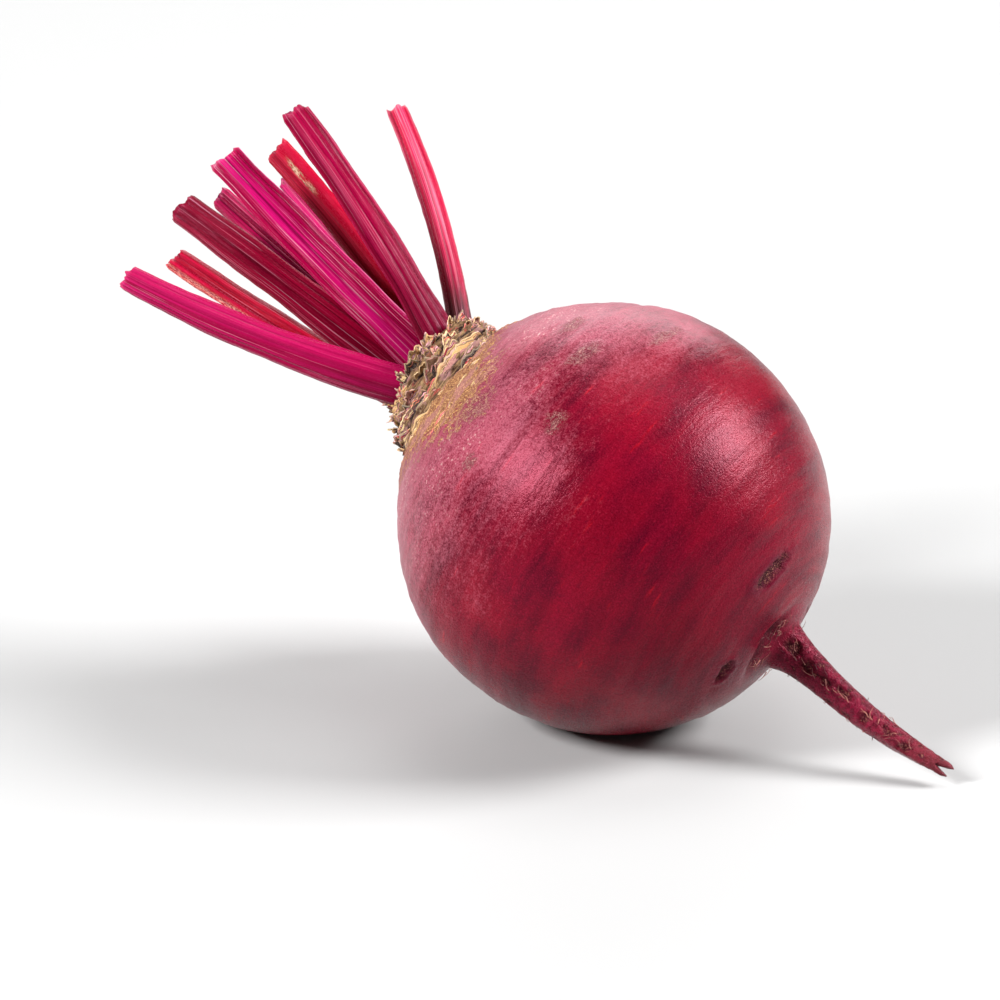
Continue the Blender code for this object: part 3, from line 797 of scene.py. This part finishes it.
rng = random.Random(FLAKE_SEED)
flakes = []
for row, (share, count, half_span, stand_off, length_mm, crumpled) in enumerate(FLAKE_TIERS):
    for i in range(count):
        middle = 2 * math.pi * (i + 0.5 * (row % 2) + rng.uniform(-0.28, 0.28)) / count
        seat = share + rng.uniform(-0.05, 0.05)
        spot = crown_axes(seat, middle)[0]
        local = spot.normalized()
        off_cork = math.degrees(math.acos(local.z)) - cork_limit(
            math.degrees(math.atan2(local.y, local.x))
        )
        bare = rng.random() < BARE_SHARE or (share < 0 and off_cork > -1.5)
        if bare:
            continue
        flakes.append(
            flake(
                middle,
                seat,
                half_span * rng.uniform(0.5, 1.15),
                stand_off + rng.uniform(-0.4, 0.4) * stand_off,
                length_mm * rng.uniform(0.65, 1.15),
                crumpled,
                rng,
            )
        )
deselect_all()
for piece in flakes:
    piece.select_set(True)
leaf_bases = flakes[0]
bpy.context.view_layer.objects.active = leaf_bases
bpy.ops.object.join()
leaf_bases.name = "crown_leaf_bases"
bpy.ops.object.shade_smooth()


def leaf_base_material():
    """Thin dry leaf tissue, each flake with its own tone, darkened at its foot as painted shade,
    and with a paler torn edge that is partly a painted highlight.
    """
    n = Nodes("dry_leaf_base")
    place = n.attribute("flake_place", "Vector")
    fibres = n.noise(place, 0.9, (0.3, 3.6, 1), 4.0, 0.65)
    blots = n.noise(place, 0.5, (0.7, 1.0, 1), 3.0, 0.6, 8.0)
    grain = n.noise(place, 3.2, (1, 1, 1), 3.0, 0.7, 3.0)
    strips = n.noise(place, 0.45, (0.4, 2.4, 1), 2.0, 0.5, 15.0)
    striped = n.minus(n.ramp(strips, 0.40, 0.60), 0.5)
    tone = n.plus(n.attribute("tone"), n.times(striped, 0.75))
    tones = n.add("ShaderNodeValToRGB", {"Fac": tone})
    stops = tones.color_ramp
    stops.interpolation = "CONSTANT"
    stops.elements[0].color = (0.58, 0.32, 0.12, 1.0)
    stops.elements[1].position = 0.16
    stops.elements[1].color = (0.84, 0.60, 0.30, 1.0)
    for position, shade in (
        (0.30, (0.16, 0.070, 0.034)),
        (0.40, (0.46, 0.20, 0.18)),
        (0.49, (0.84, 0.43, 0.48)),
        (0.59, (0.050, 0.006, 0.014)),
        (0.67, (0.62, 0.006, 0.038)),
        (0.79, (0.74, 0.46, 0.18)),
        (0.90, (0.022, 0.007, 0.010)),
    ):
        stops.elements.new(position).color = (*shade, 1.0)
    dry = n.mix(n.times(n.ramp(fibres, 0.50, 0.42), 0.88), tones.outputs[0], (0.060, 0.018, 0.010))
    dry = n.tint(dry, n.ramp(blots, 0.56, 0.68), 0.3, (0.36, 0.13, 0.14))
    # Painted shade: each flake darkens nearly to black at its foot, where it is tucked in among the
    # others.
    dry = n.tint(dry, n.ramp(n.attribute("edge"), 0.45, 0.05), 0.85, (0.030, 0.009, 0.010))
    # Pale torn edge, partly the dry tissue's own colour and partly a painted highlight.
    dry = n.tint(dry, n.ramp(n.attribute("edge"), 0.72, 1.0), 0.26, (0.82, 0.65, 0.42))
    dry = n.tint(dry, n.ramp(grain, 0.54, 0.70), 0.35, (0.84, 0.66, 0.46))
    dry = n.tint(dry, n.ramp(grain, 0.44, 0.30), 0.6, (0.055, 0.020, 0.018))
    n.put(n.shader.inputs["Base Color"], dry)
    n.shader.inputs["Roughness"].default_value = 0.7
    n.shader.inputs["Specular IOR Level"].default_value = 0.3
    n.put(n.shader.inputs["Normal"], n.bump(fibres, 0.6, 0.0005, n.bump(grain, 0.4, 0.0003)))
    return n.material


leaf_bases.data.materials.append(leaf_base_material())
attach(leaf_bases, "root")

# The leaf stalks
# Nine fleshy ribbed leaf stalks, cut across with a knife about 5 cm above the crown. Each has a
# ribbed back and a channel down its inner side, and grows out of the middle of the crown.

FOOT_DEPTH = 4.6 * MM
FOOT_WIDTH_SHARE = 0.62
STALK_CORNERS = 84
STALK_ROWS = 70
CUT_ROWS = 8
RIB_HEIGHT = 0.17 * MM
CHANNEL_DEPTH_SHARE = 0.42
LINE_STEP = 0.25 * MM
CUT_STARTS_AT = 0.985
CUT_NARROWING = 0.09
SCAB_BELOW_CUT = 7.5
# Seat angle, seat distance, heading, lean at the foot and at the tip, length, width, width at
# the tip, thickness and facing: angles in degrees, lengths in millimetres
STALKS = {
    "stalk_low_front": (-88, 6.8, -117, 25, 10, 54.5, 7.6, 4.6, 4.2, -78),
    "stalk_low_back": (166, 7.4, 172, 9, 3.5, 56.0, 5.4, 4.8, 3.2, 150),
    "stalk_middle": (166, 2.8, -51, 12, -5, 56.5, 7.8, 6.2, 3.2, -58),
    "stalk_middle_back": (116, 5.6, 98, 5, 13, 58.0, 4.8, 4.2, 3.2, 110),
    "stalk_broad_front": (-12, 3.2, -13, 10, 14, 53.5, 7.4, 6.3, 3.4, -50),
    "stalk_scabbed": (50, 4.5, 44, 19, 10.5, 52.0, 5.6, 5.3, 3.0, 100),
    "stalk_thin_back": (86, 7.8, 73, 12, 16, 51.0, 4.0, 3.6, 3.0, 86),
    "stalk_high_front": (-8, 8.9, 12, 26, 17.5, 49.3, 6.8, 5.4, 3.8, -30),
    "stalk_high_back": (40, 10.0, 47, 43, 28, 46.4, 5.0, 4.0, 4.8, 20),
}
# Main colour, dark colour, pale stripe colour, how much of it is pale, finish slot, and how
# much of the foot has gone brown
STALK_LOOKS = {
    "stalk_low_front": (
        (0.52, 0.013, 0.125),
        (0.30, 0.002, 0.045),
        (0.66, 0.10, 0.24),
        0.35, "crimson", 0.0,
    ),
    "stalk_low_back": (
        (0.45, 0.001, 0.034),
        (0.36, 0.0006, 0.014),
        (0.66, 0.08, 0.16),
        0.30, "red", 0.0,
    ),
    "stalk_middle": (
        (0.21, 0.0006, 0.018),
        (0.13, 0.0005, 0.011),
        (0.40, 0.03, 0.09),
        0.28, "crimson", 0.0,
    ),
    "stalk_middle_back": (
        (0.40, 0.001, 0.065),
        (0.20, 0.0005, 0.024),
        (0.56, 0.06, 0.20),
        0.3, "crimson", 0.0,
    ),
    "stalk_broad_front": (
        (0.56, 0.005, 0.140),
        (0.33, 0.001, 0.046),
        (0.72, 0.22, 0.38),
        0.8, "magenta", 0.0,
    ),
    "stalk_scabbed": (
        (0.46, 0.009, 0.036),
        (0.34, 0.001, 0.016),
        (0.60, 0.05, 0.10),
        0.10, "red", 0.0,
    ),
    "stalk_thin_back": (
        (0.55, 0.003, 0.13),
        (0.34, 0.001, 0.05),
        (0.75, 0.16, 0.36),
        0.4, "magenta", 0.0,
    ),
    "stalk_high_front": (
        (0.27, 0.0007, 0.034),
        (0.16, 0.0004, 0.015),
        (0.52, 0.07, 0.16),
        0.18, "crimson", 0.05,
    ),
    "stalk_high_back": (
        (0.60, 0.022, 0.085),
        (0.42, 0.006, 0.036),
        (0.80, 0.26, 0.34),
        0.6, "rose", 1.0,
    ),
}


def stalk_line(foot_lean, tip_lean, length):
    """(point, direction) every LINE_STEP along a stalk, from its sunk foot to its cut end."""
    foot, tip = math.radians(foot_lean), math.radians(tip_lean)
    point = Vector((math.sin(foot), 0.0, math.cos(foot))) * -FOOT_DEPTH
    line = []
    for i in range(round((length + FOOT_DEPTH) / LINE_STEP) + 1):
        above = max(0.0, i * LINE_STEP - FOOT_DEPTH) / length
        lean = foot + (tip - foot) * above
        direction = Vector((math.sin(lean), 0.0, math.cos(lean)))
        line.append((point.copy(), direction))
        point += direction * LINE_STEP
    return line


def rib(turn, count, seed):
    """Height of the ribs at this angle round a stalk, from 0 to 1."""
    wave = 0.5 + 0.5 * math.cos(count * turn + 1.6 * math.sin(3 * turn + seed))
    wave *= 0.75 + 0.25 * math.cos(5 * turn + 2 * seed)
    return wave**0.5 * (1.0 if math.sin(turn) > -0.25 else 0.35)


# One straight blank tube, open below and closed by the cut above, is shaped into every stalk
blank_stalk = extruded_tube("stalk_blank", STALK_CORNERS, STALK_ROWS)
for _ in range(CUT_ROWS):
    bpy.ops.mesh.extrude_edges_move(TRANSFORM_OT_translate={"value": (0, 0, 0.001)})
    bpy.ops.transform.resize(value=(0.78, 0.78, 1.0), center_override=(0, 0, 0))
bpy.ops.mesh.edge_face_add()
bpy.ops.mesh.select_all(action="DESELECT")
bpy.ops.object.mode_set(mode="OBJECT")
blank_points = read_points(blank_stalk)


def stalk(name, seed):
    """Shapes a copy of the blank into the named stalk."""
    seat, distance, heading, foot_lean, tip_lean, *sizes = STALKS[name]
    length, width, tip_width, thick, facing = sizes
    main, dark, pale, stripes, slot, browned = STALK_LOOKS[name]
    piece = blank_stalk.copy()
    piece.data = blank_stalk.data.copy()
    piece.name = name + "_flesh"
    bpy.context.scene.collection.objects.link(piece)
    length = length * MM
    line = stalk_line(foot_lean, tip_lean, length)
    total = FOOT_DEPTH + length
    turn_to = math.radians(facing - heading)
    seat_at = Vector(
        (
            distance * MM * math.cos(math.radians(seat)),
            distance * MM * math.sin(math.radians(seat)),
            CROWN_TOP,
        )
    )
    place = BEET_TO_WORLD @ Matrix.Translation(seat_at)
    place = place @ Matrix.Rotation(math.radians(heading), 4, "Z")
    shaped, fibre, ridge, ends, edge_strip = [], [], [], [], []
    for x, y, z in blank_points:
        inner = 1 - math.hypot(x, y) if z > 1.0005 else 0.0
        turn = math.atan2(y, x)
        share = min(z, 1.0)
        point, direction = line[round(share * (len(line) - 1))]
        above = share * total - FOOT_DEPTH
        up_share = max(0.0, above) / length
        wide = width + (tip_width - width) * up_share
        depth = thick * (1 + wide / width) / 2
        swell = 1.0 + 0.10 * noise.noise(Vector((share * 5, seed, 1)))
        out_of_crown = max(0.0, min(1.0, 1 + above / FOOT_DEPTH))
        swell *= FOOT_WIDTH_SHARE + (1 - FOOT_WIDTH_SHARE) * math.sin(out_of_crown * math.pi / 2)
        ribs = rib(turn + 0.12 * share, round(1.6 * width), seed)
        across = wide * swell * MM / 2 * math.cos(turn)
        outer = depth * swell * MM / 2 * math.sin(turn)
        if math.sin(turn) < 0:
            hollow = CHANNEL_DEPTH_SHARE * depth * MM
            hollow *= math.exp(-((2.0 * math.cos(turn)) ** 2) * 1.1)
            outer += -math.sin(turn) * hollow * out_of_crown
        grow = (ribs - 0.5) * RIB_HEIGHT * 1.6 * (0.35 + 0.65 * out_of_crown)
        knobbly = Vector((math.cos(turn) * 3, math.sin(turn) * 3, share * 26 + seed))
        grow += 0.07 * MM * noise.noise(knobbly)
        across += grow * math.cos(turn)
        outer += grow * math.sin(turn)
        across *= 1 - inner
        outer *= 1 - inner
        # The cut is torn: strands stand up from it and the pith is sunken
        near_cut = max(0.0, (share - CUT_STARTS_AT) / (1 - CUT_STARTS_AT))
        strand = noise.noise(Vector((math.cos(turn) * 1.6, math.sin(turn) * 1.6, seed)))
        strand += 0.4 * noise.noise(Vector((x * 4.0, y * 4.0, seed + 4)))
        tear = near_cut * (0.9 * strand - 0.3) * MM
        across *= 1 - CUT_NARROWING * near_cut**2
        outer *= 1 - CUT_NARROWING * near_cut**2
        if inner:
            tear = tear * 0.8 - 0.55 * MM * min(1.0, inner * 3.0)
            tear += 0.35 * MM * noise.noise(Vector((x * 14, y * 14, seed)))
        side = Vector((0.0, 1.0, 0.0))
        out = side.cross(direction)
        right = side * math.cos(turn_to) - out * math.sin(turn_to)
        back = out * math.cos(turn_to) + side * math.sin(turn_to)
        slant = -0.12 * across * near_cut
        spot = point + right * across + back * outer + direction * (tear + slant)
        shaped.append(place @ spot)
        fibre.append((math.cos(turn) * 5 + seed, math.sin(turn) * 5, share * total / MM))
        ridge.append(ribs)
        ends.append(min(1.0, inner * 6.0) if inner else 0.0)
        edge_strip.append(math.cos(turn))
    write_points(piece, shaped)
    give_values(piece, "fibre", fibre)
    give_values(piece, "ridge", ridge)
    give_values(piece, "cut", ends)
    give_values(piece, "edge_strip", edge_strip)
    face_outwards(piece)
    flesh = stalk_material(name, main, dark, pale, stripes, browned, total / MM)
    piece.data.materials.append(flesh)
    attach(piece, "root")
    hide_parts(name)


def stalk_material(name, main, dark, pale, stripes, browned, total_mm):
    """Glossy wet-looking stalk skin with fine stripes running its whole length, painted highlights
    on the rib crests, and painted shade in the grooves and towards the crown.
    """
    n = Nodes(name + "_skin")
    place = n.attribute("fibre", "Vector")
    along = n.add("ShaderNodeSeparateXYZ", {"Vector": place}).outputs["Z"]
    ridge = n.attribute("ridge")
    broad = n.noise(place, 0.40, (1, 1, 0.02), 2.0, 0.5)
    fine = n.noise(place, 1.3, (1, 1, 0.016), 3.0, 0.6, 7.0)
    threads = n.noise(place, 4.0, (1, 1, 0.02), 2.0, 0.5, 3.0)
    blotches = n.noise(place, 0.16, (1, 1, 0.5), 3.0, 0.5, 13.0)
    grain = n.noise(place, 3.4, (1, 1, 0.5), 3.0, 0.6, 17.0)

    flesh = n.mix(n.ramp(broad, 0.42, 0.56), dark, main)
    flesh = n.tint(flesh, n.ramp(blotches, 0.5, 0.7), 0.4, dark)
    bands = n.times(n.ramp(broad, 0.60, 0.68), stripes)
    flesh = n.mix(bands, flesh, pale)
    # Pale stripes on the rib crests, brightened there as a painted highlight, and painted shade in
    # the grooves between the ribs.
    crest_stripe_and_highlight = n.times(n.ramp(ridge, 0.70, 1.0), n.ramp(fine, 0.52, 0.60))
    flesh = n.tint(flesh, crest_stripe_and_highlight, 0.08 + 0.75 * stripes, pale)
    groove = n.times(n.ramp(ridge, 0.42, 0.08), n.ramp(fine, 0.66, 0.42))
    flesh = n.tint(flesh, groove, 0.75, [c * 0.30 for c in dark])
    flesh = n.tint(flesh, n.ramp(threads, 0.46, 0.34), 0.55, [c * 0.4 for c in dark])
    flesh = n.tint(flesh, n.ramp(threads, 0.60, 0.70), 0.25 * stripes + 0.05, pale)
    hairs = n.ramp(n.noise(place, 2.6, (1, 1, 0.012), 2.0, 0.5, 29.0), 0.62, 0.66)
    flesh = n.tint(flesh, hairs, 0.10 + 0.5 * stripes, (0.80, 0.36, 0.50))

    # The flesh darkens towards the crown, partly its own deeper red and partly painted shade where
    # the stalks crowd together.
    deeper_and_shaded = n.times(n.ramp(along, 30.0, 7.0), 0.55)
    flesh = n.mix(deeper_and_shaded, flesh, [c * 0.30 for c in dark])
    if browned:
        foot = n.plus(along, n.times(n.minus(fine, 0.5), -14.0))
        brown = n.mix(n.ramp(threads, 0.4, 0.6), (0.020, 0.010, 0.012), (0.13, 0.05, 0.05))
        flesh = n.tint(flesh, n.ramp(foot, 17.0, 7.0), 0.92 * browned, brown)
    else:
        # Darker again at the foot, where the stalk comes out of the crown among the others: painted
        # shade.
        foot = n.plus(along, n.times(n.minus(fine, 0.5), -6.0))
        flesh = n.tint(flesh, n.ramp(foot, 9.0, 3.5), 0.7, [c * 0.35 for c in dark])
    if name == "stalk_scabbed":
        from_scab = n.math("ABSOLUTE", n.minus(along, total_mm - SCAB_BELOW_CUT))
        scab_at = n.minus(1.0, n.ramp(from_scab, 2.5, 5.5))
        dim = n.ramp(n.attribute("edge_strip"), 0.02, -0.18)
        flesh = n.tint(flesh, dim, 0.85, (0.40, 0.001, 0.024))
        off_middle = n.math("ABSOLUTE", n.plus(n.attribute("edge_strip"), 0.10))
        side = n.ramp(off_middle, 0.30, 0.16)
        rough_edge = n.ramp(n.noise(place, 0.7, (1, 1, 0.5), 4.0, 0.7, 5.0), 0.40, 0.55)
        scab = n.times(n.times(scab_at, side), rough_edge)
        crust = n.mix(n.ramp(grain, 0.4, 0.6), (0.22, 0.10, 0.06), (0.56, 0.40, 0.27))
        flesh = n.mix(scab, flesh, crust)
    if name == "stalk_low_front":
        top_half = n.ramp(n.attribute("edge_strip"), -0.05, 0.25)
        flesh = n.tint(flesh, top_half, 0.75, (0.34, 0.003, 0.060))
    if name == "stalk_low_back":
        strip = n.times(n.ramp(n.attribute("edge_strip"), 0.72, 0.95), n.ramp(grain, 0.45, 0.6))
        flesh = n.tint(flesh, strip, 0.75, (0.78, 0.36, 0.28))
    if name == "stalk_high_back":
        tip_at = n.ramp(n.plus(along, n.times(fine, 3.0)), total_mm - 2.5, total_mm + 0.2)
        corner = n.times(tip_at, n.ramp(n.attribute("edge_strip"), 0.1, 0.7))
        flesh = n.tint(flesh, corner, 0.9, (0.11, 0.055, 0.045))

    # The cut end: damp pith, speckled pale and dark
    cut = n.attribute("cut")
    pith = n.mix(n.ramp(grain, 0.40, 0.62), (0.17, 0.010, 0.024), (0.52, 0.14, 0.18))
    flesh = n.mix(cut, flesh, pith)
    tip = n.ramp(n.plus(along, n.times(fine, 1.4)), total_mm - 0.6, total_mm + 0.6)
    flesh = n.tint(flesh, tip, 0.22, pale)

    n.put(n.shader.inputs["Base Color"], flesh)
    rough = n.plus(0.27, n.times(n.minus(grain, 0.5), 0.25))
    rough = n.plus(rough, n.times(cut, 0.3))
    n.put(n.shader.inputs["Roughness"], rough)
    n.shader.inputs["Specular IOR Level"].default_value = 0.14
    n.shader.inputs["Specular Tint"].default_value = (1.0, 0.30, 0.50, 1.0)
    n.shader.inputs["Subsurface Weight"].default_value = 0.04
    n.shader.inputs["Subsurface Radius"].default_value = (0.9, 0.25, 0.3)
    n.shader.inputs["Subsurface Scale"].default_value = 0.0012
    ribs = n.bump(fine, 0.45, 0.0006)
    fibrous = n.plus(threads, n.times(grain, 0.4))
    n.put(n.shader.inputs["Normal"], n.bump(fibrous, 0.35, 0.00025, ribs))
    return n.material


for number, name in enumerate(STALKS):
    stalk(name, 3.7 * number + 1.0)
bpy.data.objects.remove(blank_stalk, do_unlink=True)

# Rootlets
# Fine dry side roots left on the tail and in the folds where the globe draws in to it. They
# are thread-thin, pinkish tan and brittle, and lie close to the skin that they grow from.

ROOTLET_SEED = 23
SCATTERED_ROOTLETS = 24
ROOTLETS_A_PIT = 3
FOLD_ROOTLETS = 44
TAIL_ROOTLET_LENGTHS = (1.0, 2.6)
FOLD_ROOTLET_LENGTHS = (1.2, 3.0)


def root_surface(along_tail, angle):
    """(point, outwards) on the root at this distance past the neck, or on the globe before it."""
    if along_tail >= 0:
        radius = float(tail_radius(np.array(along_tail)))
        height = -GLOBE_RADIUS - along_tail
        out = Vector((math.cos(angle), math.sin(angle), 0.0))
        offset = Vector(tail_offset(np.array([height]))[0])
        return Vector((out.x * radius, out.y * radius, height)) + offset, out
    down = math.radians(NECK_ANGLE) + along_tail / GLOBE_RADIUS
    out = Vector(
        (math.sin(down) * math.cos(angle), math.sin(down) * math.sin(angle), math.cos(down))
    )
    return out * GLOBE_RADIUS, out


def rootlet(mesh, start, angle, length_range, rng, heading=None):
    """Adds one thread, a thin tapering tube that wanders over the skin, to the mesh."""
    sides, steps = 5, 7
    length_mm = rng.uniform(*length_range)
    thick_mm = rng.uniform(0.12, 0.22)
    heading = rng.uniform(0, 2 * math.pi) if heading is None else heading + rng.uniform(-0.4, 0.4)
    lift = rng.uniform(0.05, 0.5)
    rings = []
    for i in range(steps + 1):
        share = i / steps
        point, out = root_surface(start, angle)
        centre = point + out * (0.05 + lift * math.sin(share * math.pi * 0.8)) * MM
        thick = thick_mm * MM * (1 - 0.75 * share) / 2
        side = out.cross(Vector((0, 0, 1))).normalized()
        ahead = side * math.cos(heading) + side.cross(out) * math.sin(heading)
        side = ahead.cross(out).normalized()
        ring = []
        for k in range(sides):
            turn = 2 * math.pi * k / sides
            corner = centre + (side * math.cos(turn) + out * math.sin(turn)) * thick
            ring.append(mesh.verts.new(BEET_TO_WORLD @ corner))
        rings.append(ring)
        heading += rng.uniform(-0.5, 0.5)
        step = length_mm * MM / steps
        local_radius = max(1.3 * MM, (point - Vector((0, 0, point.z))).length)
        start += step * math.sin(heading)
        angle += step * math.cos(heading) / local_radius
    for lower, upper in zip(rings, rings[1:]):
        for k in range(sides):
            mesh.faces.new((lower[k], lower[(k + 1) % sides], upper[(k + 1) % sides], upper[k]))
    mesh.faces.new(list(reversed(rings[0])))
    mesh.faces.new(rings[-1])


rng = random.Random(ROOTLET_SEED)
mesh = bmesh.new()
for _ in range(SCATTERED_ROOTLETS):
    start = rng.uniform(0.5, 30.0) * MM
    angle = rng.uniform(-math.pi, math.pi)
    rootlet(mesh, start, angle, TAIL_ROOTLET_LENGTHS, rng)
for past, round_it, long_mm, _ in TAIL_PITS:
    for _ in range(ROOTLETS_A_PIT):
        start = (past + rng.uniform(-0.4, 0.5) * long_mm) * MM
        angle = math.radians(round_it + rng.uniform(-22, 22))
        rootlet(mesh, start, angle, TAIL_ROOTLET_LENGTHS, rng, -math.pi / 2)
for _ in range(FOLD_ROOTLETS):
    fold = math.radians(rng.choice((-60.0, -60.0, 122.0)) + rng.uniform(-40, 40))
    rootlet(mesh, rng.uniform(-5.5, -1.0) * MM, fold, FOLD_ROOTLET_LENGTHS, rng)
bmesh.ops.recalc_face_normals(mesh, faces=mesh.faces)
threads_mesh = bpy.data.meshes.new("rootlets")
mesh.to_mesh(threads_mesh)
mesh.free()
rootlets = bpy.data.objects.new("rootlets", threads_mesh)
bpy.context.scene.collection.objects.link(rootlets)
only(rootlets)
bpy.ops.object.shade_smooth()


def rootlet_material():
    n = Nodes("dry_rootlet")
    place = n.add("ShaderNodeTexCoord").outputs["Object"]
    patches = n.noise(place, 260.0, (1, 1, 1), 3.0, 0.6)
    dry = n.mix(n.ramp(patches, 0.38, 0.62), (0.08, 0.012, 0.018), (0.34, 0.12, 0.09))
    n.put(n.shader.inputs["Base Color"], dry)
    n.shader.inputs["Roughness"].default_value = 0.75
    n.put(n.shader.inputs["Normal"], n.bump(patches, 0.4, 0.0002))
    return n.material


rootlets.data.materials.append(rootlet_material())
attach(rootlets, "root")

# The table, the studio lights and the camera
# The beetroot lies on a plain pale table, lit by four soft boxes: upper right, upper left,
# behind and overhead. It is seen from a little above its side.

deselect_all()
bpy.ops.mesh.primitive_plane_add(size=8.0, location=(0, 0, -0.0001))
table = bpy.context.object
table.name = "table"
n = Nodes("white_table")
n.shader.inputs["Base Color"].default_value = (0.40, 0.40, 0.40, 1.0)
n.shader.inputs["Roughness"].default_value = 0.75
n.shader.inputs["Specular IOR Level"].default_value = 0.2
table.data.materials.append(n.material)

RIGHT = Vector((0.866, 0.5, 0.0))
BACK = Vector((0.470, -0.814, 0.342)).normalized()
UP = BACK.cross(RIGHT).normalized()
RIGHT = UP.cross(BACK).normalized()
CAMERA_DISTANCE = 0.8
SENSOR_WIDTH = 36.0
FRAME_WIDTH = 0.1755
FRAME_PIXELS = 1000
GLOBE_PIXEL = (613, 518)


def softbox(name, offset, size, power):
    """A soft light aimed at the globe, offset from it (right, up, towards the camera)."""
    data = bpy.data.lights.new(name, "AREA")
    data.shape = "RECTANGLE"
    data.size, data.size_y = size
    data.energy = power
    lamp = bpy.data.objects.new(name, data)
    bpy.context.scene.collection.objects.link(lamp)
    away = RIGHT * offset[0] + UP * offset[1] + BACK * offset[2]
    facing = away.to_track_quat("Z", "Y").to_matrix().to_4x4()
    lamp.matrix_world = Matrix.Translation(GLOBE_CENTRE + away) @ facing


softbox("right_light", (2.04, 1.41, 0.45), (1.0, 1.0), 122.0)
softbox("left_light", (-1.80, 0.96, 1.26), (0.5, 0.7), 100.0)
softbox("back_light", (0.0, 1.86, -1.86), (2.2, 1.2), 30.0)
softbox("high_light", (0.30, 2.60, 0.30), (1.5, 1.3), 26.0)
world = bpy.data.worlds.new("studio")
world.use_nodes = True
world.node_tree.nodes["Background"].inputs["Color"].default_value = (1.0, 1.0, 1.0, 1.0)
world.node_tree.nodes["Background"].inputs["Strength"].default_value = 0.08
bpy.context.scene.world = world
bpy.context.scene.view_settings.view_transform = "Standard"

pixel = FRAME_WIDTH / FRAME_PIXELS
globe_right = (GLOBE_PIXEL[0] - FRAME_PIXELS / 2) * pixel
globe_up = (FRAME_PIXELS / 2 - GLOBE_PIXEL[1]) * pixel
looked_at = GLOBE_CENTRE - RIGHT * globe_right - UP * globe_up
camera_data = bpy.data.cameras.new("camera")
camera_data.sensor_width = SENSOR_WIDTH
camera_data.lens = SENSOR_WIDTH * CAMERA_DISTANCE / FRAME_WIDTH
camera_data.clip_start = 0.01
camera = bpy.data.objects.new("camera", camera_data)
bpy.context.scene.collection.objects.link(camera)
camera.matrix_world = Matrix.Translation(looked_at + BACK * CAMERA_DISTANCE) @ Matrix(
    (RIGHT, UP, BACK)
).transposed().to_4x4()
bpy.context.scene.camera = camera

bpy.context.view_layer.update()
